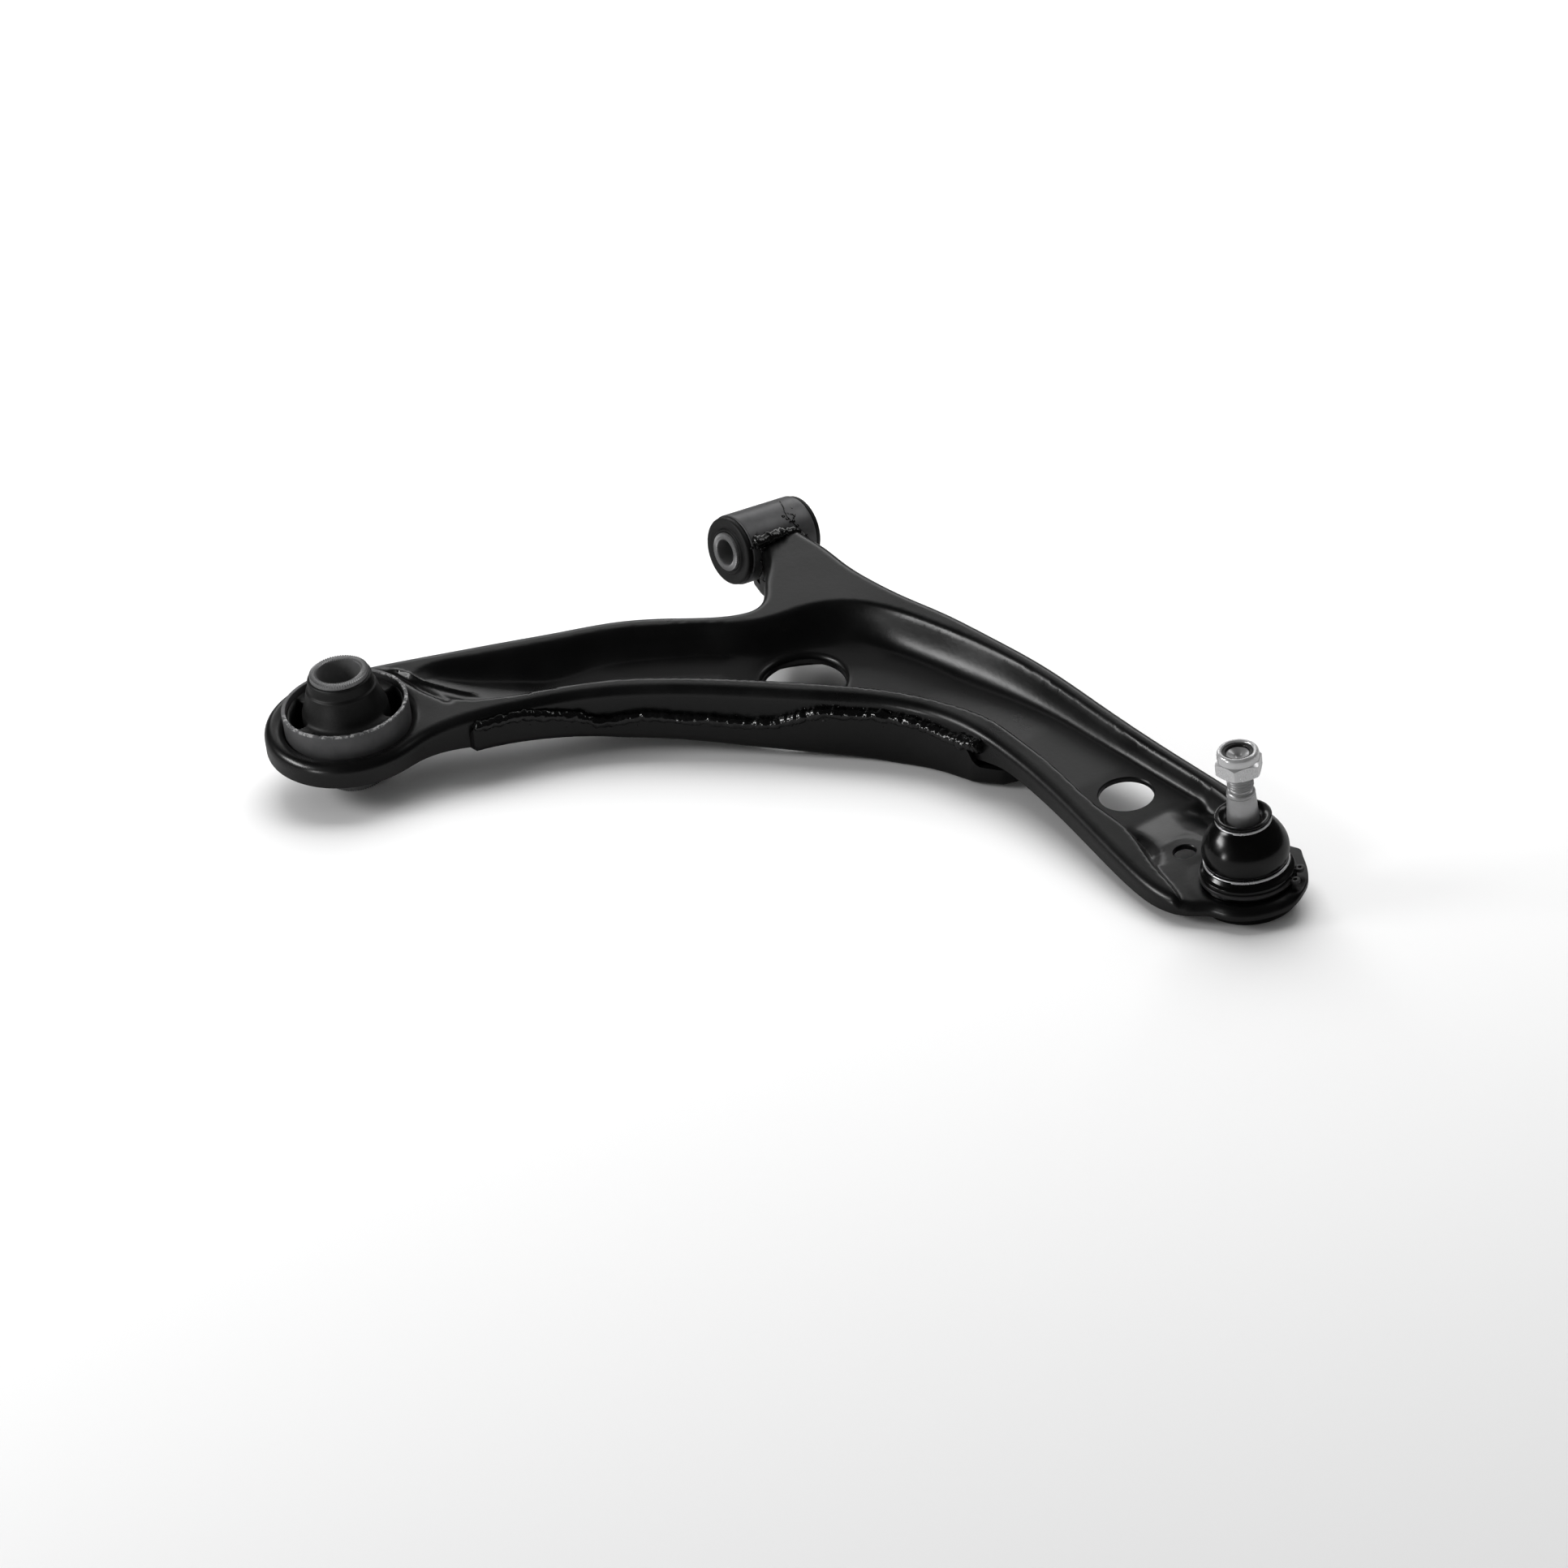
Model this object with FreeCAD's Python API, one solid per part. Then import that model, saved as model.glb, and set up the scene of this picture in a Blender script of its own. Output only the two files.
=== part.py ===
import FreeCAD, Part
import os, math
from FreeCAD import Vector as V

os.makedirs("parts", exist_ok=True)

# ---------------------------------------------------------------- driving dimensions (mm)
# frame: origin at the centre of the front bush, +X outboard to the ball joint,
# +Y forward along the pivot line, +Z along the rear bush axis.
REAR_Y = -237.25            # rear bush axis
BALL_X = 370.7              # ball joint axis
T = 2.8                     # pressed sheet thickness
# crest plane of the upper pressing: z = PZ + PX*x + PY*y
PZ, PX, PY = 10.0, -0.0595, 0.0116
RIM_R = 5.0                 # outside radius of the rolled rim
SKIRT = 18.0                # skirt depth in the middle of the arm
RING_SKIRT = 11.2           # skirt depth round the rear ring
LIMB_SKIRT = 11.0           # skirt depth along the outboard limb
RING_R = 39.5               # outside radius of the rear ring
# rear bush
RS_R, RS_T, RS_Z0, RS_Z1 = 29.8, 1.9, -11.0, 15.9
RI_R, RI_BORE, RI_Z0, RI_Z1 = 14.0, 10.4, -24.6, 33.7
# front bush (axis is yawed and pitched a little from +Y)
FB_YAW, FB_PITCH = 3.54, -9.7
FT_R, FT_RI, FT_HALF = 17.3, 15.05, 19.3
FS_R, FS_RI = 15.0, 14.0
FI_R, FI_BORE, FI_HALF = 9.5, 6.2, 23.9
FL_R, FL_S0, FL_S1 = 16.6, 19.9, 22.6
# ball joint
BALL_R, BALL_Z = 11.0, -11.5
PAD_Z = -13.6               # top of the flat pad at the ball joint
TIP_R = 27.3
HB_R = 20.85                # housing barrel in the pad
NUT_AF, NUT_Z0, NUT_Z1 = 19.0, 42.2, 53.2
THREAD_R = 6.0
# holes
H1 = (100.1, -48.8, 20.0)   # big lightening hole: x, y, radius
H2 = (279.2, 3.4, 12.6)     # second lightening hole
H3 = (336.2, -8.0, 5.1)     # small hole in the pad

OUTER = [(-35.8, -220.6), (-39.4, -234.0), (-38.2, -247.5), (-32.5, -259.8), (-23.2, -269.2), (-11.5, -275.0), (2.0, -276.7),
         (15.2, -273.7), (26.6, -266.5), (34.8, -256.0), (39.0, -243.6), (39.2, -231.5), (36.9, -219.8),
         (38.0, -196.0), (46.9, -170.4), (59.6, -143.4), (86.9, -107.8), (125.8, -70.9), (161.0, -41.5), (191.2, -28.1), (222.6, -25.0),
         (261.4, -27.3), (297.2, -32.2), (332.3, -37.1), (348.0, -38.2), (360.0, -36.2), (370.0, -30.6), (380.0, -25.6), (389.5, -19.6),
         (395.8, -10.6), (398.0, 0.0), (396.0, 10.0), (390.0, 18.8), (381.0, 25.6), (370.5, 31.0), (356.0, 34.4), (336.0, 36.2),
         (308.5, 35.5), (264.8, 33.0), (224.3, 32.0), (182.8, 30.9), (144.8, 26.3), (118.3, 22.0), (96.0, 16.8), (75.2, 13.3), (55.0, 11.8),
         (35.0, 12.3), (19.8, 11.3), (5.0, 10.6), (-4.5, 7.6), (-8.0, -1.0), (-4.0, -9.4), (6.0, -12.2), (17.0, -13.2), (27.5, -17.3), (41.0, -28.0),
         (51.5, -36.6), (54.6, -43.5), (52.6, -52.0), (46.0, -62.4), (31.9, -79.0), (18.2, -98.4), (6.9, -122.6), (-4.4, -147.2),
         (-14.0, -168.4), (-23.7, -190.0), (-31.0, -207.4)]
PAN = [(38.5, -167.1), (52.0, -138.6), (80.3, -101.7), (119.8, -64.2), (156.1, -34.0), (188.9, -19.4), (222.5, -16.0), (262.3, -18.3),
       (298.4, -23.3), (333.6, -28.2), (352.0, -29.6), (368.0, -36.5), (386.0, -44.0), (408.0, -36.0), (420.0, -12.0), (421.0, 14.0),
       (410.0, 36.0), (390.0, 46.0), (372.0, 41.0), (358.0, 30.0), (340.0, 27.0), (308.5, 26.5), (264.8, 24.0), (224.3, 23.0), (182.8, 21.9),
       (146.5, 17.0), (121.0, 11.5), (99.0, 4.0), (82.0, -7.0), (72.0, -22.0), (68.0, -40.0), (61.0, -57.0), (50.0, -70.0), (39.2, -84.0), (26.3, -102.2),
       (15.1, -126.5), (4.2, -151.0), (-5.4, -171.6), (-11.0, -187.0), (-8.0, -198.0), (3.0, -201.0), (16.0, -196.0), (28.5, -184.0)]


def interp(pts, z):
    c = Part.BSplineCurve()
    c.interpolate(Points=[V(p[0], p[1], z) for p in pts], PeriodicFlag=True)
    return c


def offset(pts, d):
    """Points moved by d along the outward normal of the closed spline (the list runs anticlockwise)."""
    c = interp(pts, 0)
    out = []
    for p in pts:
        t = c.parameter(V(p[0], p[1], 0))
        g = c.tangent(t)[0]
        out.append((p[0] + g.y * d, p[1] - g.x * d))
    return out


def wire(pts, z):
    return Part.Wire([interp(pts, z).toShape()])


def prism(pts, z0, z1):
    return Part.Face(wire(pts, z0)).extrude(V(0, 0, z1 - z0))


def cyl(r, z0, z1, x=0.0, y=0.0):
    return Part.makeCylinder(r, z1 - z0, V(x, y, z0))


def tube(r1, r0, z0, z1, x=0.0, y=0.0):
    return cyl(r1, z0, z1, x, y).cut(cyl(r0, z0 - 1, z1 + 1, x, y))


def poly_xz(pts, y0, y1):
    """Polygon in x-z, extruded along y."""
    f = Part.Face(Part.makePolygon([V(a, y0, b) for a, b in pts] + [V(pts[0][0], y0, pts[0][1])]))
    return f.extrude(V(0, y1 - y0, 0))


def poly_yz(pts, x0, x1):
    """Polygon in y-z, extruded along x."""
    f = Part.Face(Part.makePolygon([V(x0, a, b) for a, b in pts] + [V(x0, pts[0][0], pts[0][1])]))
    return f.extrude(V(x1 - x0, 0, 0))


def lathe(pts, x=0.0, y=0.0):
    """Closed profile of (radius, z) points turned about the vertical axis through x, y."""
    w = Part.makePolygon([V(r, 0, z) for r, z in pts] + [V(pts[0][0], 0, pts[0][1])])
    s = Part.Face(w).revolve(V(0, 0, 0), V(0, 0, 1), 360)
    s.translate(V(x, y, 0))
    return s


def solid(s):
    """One clean solid from a boolean result."""
    sol = sorted(s.Solids, key=lambda q: -q.Volume)
    return sol[0]


# rigid placement of the flat-drawn pressing on its crest plane
_t = math.hypot(PX, PY)
TILT = FreeCAD.Rotation(V(PY / _t, -PX / _t, 0), math.degrees(math.atan(_t)))
PLATE = FreeCAD.Placement(V(0, 0, PZ), TILT)
_n = TILT.multVec(V(0, 0, 1))


def to_plate(x, y, w=0.0):
    """Row plan position on the surface w above the crest plane, to pressing coordinates."""
    z = PZ + PX * x + PY * y + w
    q = PLATE.inverse().multVec(V(x, y, z))
    return (q.x, q.y)


outer = [to_plate(*p) for p in OUTER]
pan = [to_plate(*p) for p in PAN]
ring = to_plate(0.0, REAR_Y)
ball = to_plate(BALL_X, 0.0, -2.0)
h1 = to_plate(H1[0], H1[1], -16.0)
h2 = to_plate(H2[0], H2[1], -8.5)

# the front bush axis
_y, _p = math.radians(FB_YAW), math.radians(FB_PITCH)
FDIR = V(-math.sin(_y) * math.cos(_p), math.cos(_y) * math.cos(_p), math.sin(_p))
FBUSH = FreeCAD.Placement(V(0, 0, 0), FreeCAD.Rotation(V(0, 0, 1), FDIR))


def on_front(s):
    s.Placement = FBUSH.multiply(s.Placement)
    return s


def above(pts_u, pts_v, dz):
    """Space above the pan floor: the higher of a profile along x and a profile along y."""
    pu = [(a, b + dz) for a, b in pts_u] + [(pts_u[-1][0], 30), (pts_u[0][0], 30)]
    pv = [(a, b + dz) for a, b in pts_v] + [(pts_v[-1][0], 30), (pts_v[0][0], 30)]
    return poly_xz(pu, -320, 120).common(poly_yz(pv, -120, 460))


# ---------------------------------------------------------------- upper pressing
FLOOR_U = [(-120, -16.0), (150, -16.0), (215, -11.5), (262, -9.0), (296, -8.6), (326, -4.2), (345, -3.0), (372, -1.6), (460, 3.7)]
FLOOR_V = [(-320, 12.0), (-203, 0.3), (-176, -7.0), (-140, -13.5), (-105, -16.0), (120, -16.0)]


def pocket(grow, dz):
    top = wire(offset(pan, grow), 1.5)
    bot = wire(offset(pan, grow - 8.5), -17.0 + dz)
    s = Part.makeLoft([bot, top], True, True)
    return s.common(above(FLOOR_U, FLOOR_V, dz))


def bottom_trim(extra):
    """What is cut away below the skirt: shallower at the ring and along the outboard limb."""
    d = -SKIRT - extra
    ringcut = poly_yz([(-330, -60), (-330, -RING_SKIRT), (-226, -RING_SKIRT), (-206, -14.5), (-190, -SKIRT), (-190, -60)], -120, 120)
    limb = poly_xz([(198, -60), (198, -SKIRT), (226, -LIMB_SKIRT), (330, -10.4), (352, -9.0), (366, -6.6), (372, -6.6), (460, -1.3), (460, -60)], -90, 90)
    return ringcut.fuse(limb)


body = prism(outer, -SKIRT, 0).cut(bottom_trim(0))
body = body.cut(cyl(29.0, -40, 10, ring[0], ring[1]))
edges = []
for e in body.Edges:
    b = e.BoundBox
    if abs(b.ZMin) < 1e-3 and abs(b.ZMax) < 1e-3:
        edges.append(e)
body = body.makeFillet(RIM_R - 0.4, edges)
inner = prism(offset(outer, -T), -60, -T).cut(cyl(32.6, -80, 10, ring[0], ring[1]))
try:
    ie = [e for e in inner.Edges if abs(e.BoundBox.ZMin + T) < 1e-3 and abs(e.BoundBox.ZMax + T) < 1e-3]
    inner = inner.makeFillet(2.0, ie)
except Exception as err:
    print("inner fillet left out", err)
press = body.cut(pocket(0.0, 0.0)).cut(inner.cut(pocket(3.0, -T)))
press = press.cut(cyl(H1[2], -40, 10, h1[0], h1[1]))
press = press.cut(cyl(H2[2], -40, 10, h2[0], h2[1]))
press = solid(press)
press.Placement = PLATE
# vertical features in the tilted pressing: rear sleeve seat, ball joint seat and pad hole
press = press.cut(cyl(RS_R + 0.02, -60, 60, 0, REAR_Y))
pad = cyl(24.4, PAD_Z - 3.2, PAD_Z, BALL_X, 0)
press = press.cut(cyl(24.4, PAD_Z, 20, BALL_X, 0)).fuse(pad)
press = press.cut(cyl(HB_R + 0.03, -60, 60, BALL_X, 0)).cut(cyl(H3[2], -60, 30, H3[0], H3[1]))
press = press.cut(on_front(cyl(FT_R + 0.02, -60, 60)))
upper = solid(press)
print("upper", upper.isValid(), upper.Volume, len(upper.Faces), upper.BoundBox)

# ---------------------------------------------------------------- lower closing plate (tray under the bend)
TRAY_NEAR = [(38.4, -194.0), (46.9, -170.4), (59.6, -143.4), (86.9, -107.8), (125.8, -70.9), (161.0, -41.5), (178.0, -32.6), (196.0, -27.5)]


def near_curve(d):
    """Points d outside the skirt between the first and the last tray position."""
    c = interp(outer, 0)
    q0, q1 = to_plate(*TRAY_NEAR[0]), to_plate(*TRAY_NEAR[-1])
    t0, t1 = c.parameter(V(q0[0], q0[1], 0)), c.parameter(V(q1[0], q1[1], 0))
    out = []
    for k in range(33):
        t = t0 + (t1 - t0) * k / 32.0
        pt = c.value(t)
        g = c.tangent(t)[0]
        out.append((pt.x + g.y * d, pt.y - g.x * d))
    return out


def open_edge(pts, z):
    c = Part.BSplineCurve()
    c.interpolate(Points=[V(p[0], p[1], z) for p in pts])
    return c.toShape()


def tray_face(near_d, shrink, z):
    """Plan of the tray: outside the skirt on the near edge, inside the skirts elsewhere."""
    near = near_curve(near_d)
    s = shrink
    back = [(214.0 - s, -20.0), (214.0 - s, 8.0), (196.0 - s, 24.0 - s), (144.0, 20.6 - s), (116.0, 16.2 - s), (96.0, 11.2 - s), (74.0, 7.6 - s), (50.0, 6.0 - s), (19.5, 6.4 - s), (-2.0 + s, 5.0 - s),
            (-2.0 + s, -8.0 + s), (6.0, -9.2 + s), (19.5, -10.6 + s), (33.5, -15.6 + s), (45.0, -24.0 + s), (57.0 + 0.5 * s, -34.5 + s), (60.0 + s, -45.0), (57.5 + s, -54.5), (50.0 + s, -67.0), (37.0 + s, -83.0),
            (24.0 + s, -102.0), (12.5 + s, -126.0), (1.5 + s, -149.5), (-8.0 + s, -171.0), (-13.0 + s, -184.0 + s * 0.5)]
    pts = [V(a, b, z) for a, b in back]
    e = [open_edge(near, z)]
    p = V(near[-1][0], near[-1][1], z)
    for q in pts:
        e.append(Part.LineSegment(p, q).toShape())
        p = q
    e.append(Part.LineSegment(p, V(near[0][0], near[0][1], z)).toShape())
    return Part.Face(Part.Wire(e))


TRAY_W = [(-60, -19.0), (36, -19.0), (45, -20.0), (68, -27.0), (108, -31.3), (140, -33.6), (163, -34.5), (196, -31.7), (240, -27.5)]
TRAY_TOP = -12.6


TRAY_V = [(-320, -19.0), (-150, -19.0), (-95, -29.0), (-55, -33.0), (-28, -36.5), (60, -37.5)]


def tray_space(dz):
    """Space above the tray floor: the lower of a profile along x and, at the neck, a profile along y."""
    top = TRAY_TOP + (dz > 0) * 20
    a = poly_xz([(p, q + dz) for p, q in TRAY_W] + [(240, top), (-60, top)], -320, 120)
    b = poly_yz([(p, q + dz) for p, q in TRAY_V] + [(60, top), (-320, top)], -60, 100)
    return a.fuse(b)


tray = tray_face(T + 0.15, 0.0, -60).extrude(V(0, 0, 80)).common(tray_space(0.0))
tray = tray.cut(tray_face(0.15, T, -60).extrude(V(0, 0, 80)).common(tray_space(T)))
# long hole through the plate's floor, following the big hole above it
slot_ring = []
for k in range(60):
    a = 2 * math.pi * k / 60
    sx, sy = (h1[0] - 1.0, h1[1]) if math.cos(a) * 11.5 - math.sin(a) * 8.0 > 0 else (h1[0] - 12.5, h1[1] + 8.0)
    slot_ring.append(V(sx + 24.5 * math.cos(a), sy + 24.5 * math.sin(a), -60))
tray = tray.cut(Part.Face(Part.makePolygon(slot_ring + slot_ring[:1])).extrude(V(0, 0, 80)))
# clearance under the recessed pan and round the skirt of the upper pressing
tray = tray.cut(prism(offset(pan, -1.0), -45, 12).common(above(FLOOR_U, FLOOR_V, -T - 0.3)))
band = prism(offset(outer, 0.03), -SKIRT - 0.1, 2).cut(prism(offset(outer, -T - 0.06), -SKIRT - 1, 3))
tray = tray.cut(band)
tray = solid(tray)
tray.Placement = PLATE
tray = tray.cut(on_front(cyl(FT_R + 0.02, -60, 60)))
lower = solid(tray)
print("lower", lower.isValid(), lower.Volume, lower.BoundBox)
clash = upper.common(lower)
print("upper/lower clash", clash.Volume, [(round(q.Volume, 3), q.BoundBox) for q in clash.Solids][:6])


# ---------------------------------------------------------------- weld beads
def bead(path_pts, r, keep_clear):
    """Round weld bead swept along a smooth open path, trimmed back from the parts it joins."""
    c = Part.BSplineCurve()
    c.interpolate(Points=path_pts)
    e = c.toShape()
    t0 = c.tangent(c.FirstParameter)[0]
    w = Part.Wire([Part.Circle(path_pts[0], t0, r).toShape()])
    s = Part.Wire([e]).makePipeShell([w], True, True)
    for k in keep_clear:
        s = s.cut(k)
    return solid(s)


def ribbon(d0, d1, w0, w1):
    """Strip of weld metal lying along the skirt, on top of the tray's near wall."""
    a, b = near_curve(d0), near_curve(d1)
    e = [open_edge(a, w0), Part.LineSegment(V(a[-1][0], a[-1][1], w0), V(b[-1][0], b[-1][1], w0)).toShape(),
         open_edge(b, w0), Part.LineSegment(V(b[0][0], b[0][1], w0), V(a[0][0], a[0][1], w0)).toShape()]
    s = Part.Face(Part.Wire(Part.__sortEdges__(e))).extrude(V(0, 0, w1 - w0))
    s.Placement = PLATE
    return s


seam = ribbon(0.06, 2.6, TRAY_TOP + 0.04, TRAY_TOP + 2.2)
neck_path = []
for k in range(13):
    a = math.radians(-66 + 132 * k / 12.0)
    # ring on the tube flank, seen from outboard: spans the neck's width and height
    s_ax = -1.6 + 11.8 * math.sin(a)
    zz = 9.3 - 9.0 * (1 - math.cos(a))
    xx = math.sqrt(max(1.0, (FT_R + 0.6) ** 2 - zz ** 2))
    neck_path.append(V(xx - 0.06 * s_ax, s_ax, zz - 0.17 * s_ax))
neck_bead = bead(neck_path, 2.2, [upper, lower, on_front(cyl(FT_R, -60, 60))])
print("welds", seam.isValid(), neck_bead.isValid())

# ---------------------------------------------------------------- front bush
front_tube = on_front(tube(FT_R, FT_RI, -FT_HALF, FT_HALF))
front_outer = on_front(tube(FS_R, FS_RI, -FT_HALF + 0.6, FT_HALF - 0.6))
prof = [(FI_R + 0.02, -FL_S1), (FL_R - 1.6, -FL_S1), (FL_R, -FL_S1 + 1.4), (FL_R, -FL_S0 + 0.4), (FS_RI - 0.02, -FL_S0 + 0.4), (FS_RI - 0.02, -FT_HALF + 3), (12.6, -10), (12.6, 10),
        (FS_RI - 0.02, FT_HALF - 3), (FS_RI - 0.02, FL_S0 - 0.4), (FL_R, FL_S0 - 0.4), (FL_R, FL_S1 - 1.4), (FL_R - 1.6, FL_S1), (FI_R + 0.02, FL_S1)]
prof = [(r, z) for r, z in prof if not (abs(z) == 10)]
front_rubber = on_front(lathe(prof))
front_inner = on_front(tube(FI_R, FI_BORE, -FI_HALF, FI_HALF))

# ---------------------------------------------------------------- rear bush
rear_outer = lathe([(RS_R - RS_T, RS_Z0), (RS_R - 0.5, RS_Z0), (RS_R, RS_Z0 + 0.8), (RS_R, RS_Z1 - 0.5), (RS_R - 0.5, RS_Z1), (RS_R - RS_T, RS_Z1)], 0, REAR_Y)
ri = RS_R - RS_T - 0.02
rear_rubber = lathe([(RI_R + 0.02, -19.0), (RI_R + 2.0, -19.0), (RI_R + 4.5, -14.0), (21.0, -9.0), (ri, -8.0), (ri, 13.2), (26.6, 13.9), (24.0, 13.4),
                     (19.5, 18.0), (RI_R + 2.6, 25.5), (RI_R + 0.9, 31.0), (RI_R + 0.02, 31.4)], 0, REAR_Y)
for ang in (-121.0, 59.0):
    # kidney-shaped void through the rubber
    a0 = math.radians(ang)
    k = tube(26.0, 20.5, -40, 40, 0, REAR_Y)
    wedge = Part.Face(Part.makePolygon([V(0, REAR_Y, -40)] + [V(60 * math.cos(a0 + d), REAR_Y + 60 * math.sin(a0 + d), -40) for d in (-0.55, -0.28, 0.0, 0.28, 0.55)] + [V(0, REAR_Y, -40)])).extrude(V(0, 0, 80))
    rear_rubber = rear_rubber.cut(k.common(wedge))
rear_rubber = solid(rear_rubber)
rear_inner = tube(RI_R, RI_BORE, RI_Z0, RI_Z1, 0, REAR_Y)

# ---------------------------------------------------------------- ball joint
bx = BALL_X
fl_top = PAD_Z - 3.2 - 0.02
# steel housing: barrel through the pad, flange under it, open mouth above
housing = lathe([(17.4, -22.6), (17.4, -13.0), (16.0, -6.6), (15.0, -3.4), (17.0, -3.0), (17.0, -5.6), (18.2, -6.0), (19.4, -7.2), (HB_R, -8.2), (HB_R, -9.9), (19.3, -9.9), (19.3, -11.5),
                 (HB_R, -11.5), (HB_R, fl_top), (22.6, fl_top), (22.6, -21.0), (21.8, -23.6), (21.2, -24.8), (19.6, -25.2), (19.6, -22.6)], bx, 0)
ball_clear = Part.makeSphere(BALL_R + 0.05, V(bx, 0, BALL_Z))
# plastic socket round the ball
liner = lathe([(17.3, -20.4), (17.3, -13.05), (15.85, -6.7), (15.1, -4.5), (9.6, -4.5), (7.0, -8.0), (7.0, -20.4)], bx, 0).cut(ball_clear)
liner = solid(liner.cut(lathe([(0, -11.5), (16.0, -3.35), (16.0, 5.0), (0, 5.0)], bx, 0)))
preload = lathe([(4.0, -22.4), (17.0, -22.4), (17.0, -21.2), (8.0, -20.5), (4.0, -20.5)], bx, 0)
preload = solid(preload.cut(Part.makeSphere(BALL_R + 0.4, V(bx, 0, BALL_Z))).cut(liner))
cover = lathe([(0, -24.6), (10.0, -24.6), (14.0, -24.2), (19.5, -24.2), (19.5, -22.65), (12.0, -22.65), (0, -23.0)], bx, 0)
TAPER = [(0, 51.6), (4.6, 51.6), (5.9, 50.4), (5.9, 38.0), (5.2, 36.8), (5.2, 33.4), (5.9, 32.9), (6.25, 32.0), (7.35, 15.0), (7.0, 11.0), (6.4, 6.0), (6.3, -2.4)]
stud = lathe(TAPER + [(6.3, BALL_Z), (0, BALL_Z)], bx, 0).fuse(Part.makeSphere(BALL_R, V(bx, 0, BALL_Z)))
# flat on the underside of the ball
stud = solid(stud.cut(cyl(20, BALL_Z - 30, BALL_Z - BALL_R + 0.7, bx, 0)))
boot = lathe([(17.35, -5.2), (18.2, -5.2), (18.2, -3.8), (19.0, 0.5), (18.9, 4.0), (17.6, 8.6), (15.0, 12.6), (12.2, 15.6), (11.4, 16.6), (11.4, 17.8), (12.4, 18.8), (12.2, 20.2), (11.2, 20.3), (8.4, 18.2), (7.7, 16.6),
              (9.6, 14.6), (12.8, 11.4), (15.4, 7.8), (16.7, 4.0), (16.9, 0.5), (16.6, -2.7), (17.35, -2.8)], bx, 0)
low_clamp = Part.makeTorus(18.8, 0.55, V(bx, 0, -4.5))
up_clamp = Part.makeTorus(12.0, 0.55, V(bx, 0, 17.2))
snap = tube(21.6, 19.35, -11.45, -9.95, bx, 0)
a0 = math.radians(38)
gap = Part.makeBox(30, 5.0, 4, V(0, -2.5, -13))
gap.rotate(V(0, 0, 0), V(0, 0, 1), 38)
gap.translate(V(bx, 0, 0))
snap = snap.cut(gap)
for s in (-1, 1):
    lug = cyl(2.1, -11.45, -9.95, 22.2, s * 4.4).cut(cyl(0.9, -13, -8, 22.2, s * 4.4))
    lug.rotate(V(0, 0, 0), V(0, 0, 1), 38)
    lug.translate(V(bx, 0, 0))
    snap = snap.fuse(lug)
snap = solid(snap.cut(gap))

# ---------------------------------------------------------------- lock nut
af = NUT_AF / 2.0
hexp = [V(bx + af / math.cos(math.pi / 6) * math.cos(math.radians(60 * k + 12)), af / math.cos(math.pi / 6) * math.sin(math.radians(60 * k + 12)), NUT_Z0) for k in range(7)]
nut = Part.Face(Part.makePolygon(hexp)).extrude(V(0, 0, NUT_Z1 - NUT_Z0))
nut = nut.common(lathe([(0, NUT_Z0), (10.0, NUT_Z0), (11.2, NUT_Z0 + 0.9), (11.2, 47.6), (9.5, 49.0), (9.4, 52.0), (8.8, NUT_Z1), (0, NUT_Z1)], bx, 0))
nut = nut.cut(cyl(THREAD_R - 0.06, 40, 50.0, bx, 0)).cut(cyl(7.9, 49.6, 60, bx, 0))
nut = nut.fuse(tube(8.4, 6.9, 52.4, NUT_Z1, bx, 0))
nut = solid(nut)
insert = tube(7.85, THREAD_R - 0.06, 49.65, 52.3, bx, 0)

NODES = {
    "upper_pressing": upper, "lower_closing_plate": lower, "near_seam_weld": seam, "neck_tube_weld": neck_bead,
    "front_bush_tube": front_tube, "front_bush_outer_sleeve": front_outer, "front_bush_rubber": front_rubber, "front_bush_inner_sleeve": front_inner,
    "rear_bush_outer_sleeve": rear_outer, "rear_bush_rubber": rear_rubber, "rear_bush_inner_sleeve": rear_inner,
    "ball_joint_housing": housing, "ball_joint_liner": liner, "ball_joint_preload_ring": preload, "ball_joint_bottom_cover": cover, "ball_stud": stud,
    "dust_boot": boot, "boot_lower_clamp": low_clamp, "boot_upper_clamp": up_clamp, "snap_ring": snap, "lock_nut": nut, "lock_nut_insert": insert,
}
for name, s in NODES.items():
    ok = s.isValid()
    print("%-28s valid %s solids %d vol %.1f" % (name, ok, len(s.Solids), s.Volume))
    s.exportStep("parts/%s.step" % name)
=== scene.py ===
import math
import bpy
import bmesh
import numpy as np
from mathutils import Vector, Matrix, kdtree, noise
from mathutils.geometry import delaunay_2d_cdt


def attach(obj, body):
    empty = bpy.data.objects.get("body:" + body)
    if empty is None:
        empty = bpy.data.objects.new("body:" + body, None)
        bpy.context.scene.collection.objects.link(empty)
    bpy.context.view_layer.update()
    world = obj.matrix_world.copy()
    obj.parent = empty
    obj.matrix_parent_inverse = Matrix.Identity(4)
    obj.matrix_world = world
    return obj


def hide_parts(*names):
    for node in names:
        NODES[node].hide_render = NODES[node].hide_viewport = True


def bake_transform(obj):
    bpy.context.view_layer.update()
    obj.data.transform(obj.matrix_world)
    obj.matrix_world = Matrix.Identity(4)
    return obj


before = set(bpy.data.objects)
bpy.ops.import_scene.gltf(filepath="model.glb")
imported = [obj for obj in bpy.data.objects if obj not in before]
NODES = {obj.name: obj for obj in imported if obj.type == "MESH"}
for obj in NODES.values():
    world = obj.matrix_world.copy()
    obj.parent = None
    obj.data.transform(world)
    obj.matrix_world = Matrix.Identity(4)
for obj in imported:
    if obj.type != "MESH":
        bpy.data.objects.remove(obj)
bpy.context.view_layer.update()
MM = 0.001
rng = np.random.RandomState(11)

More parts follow.
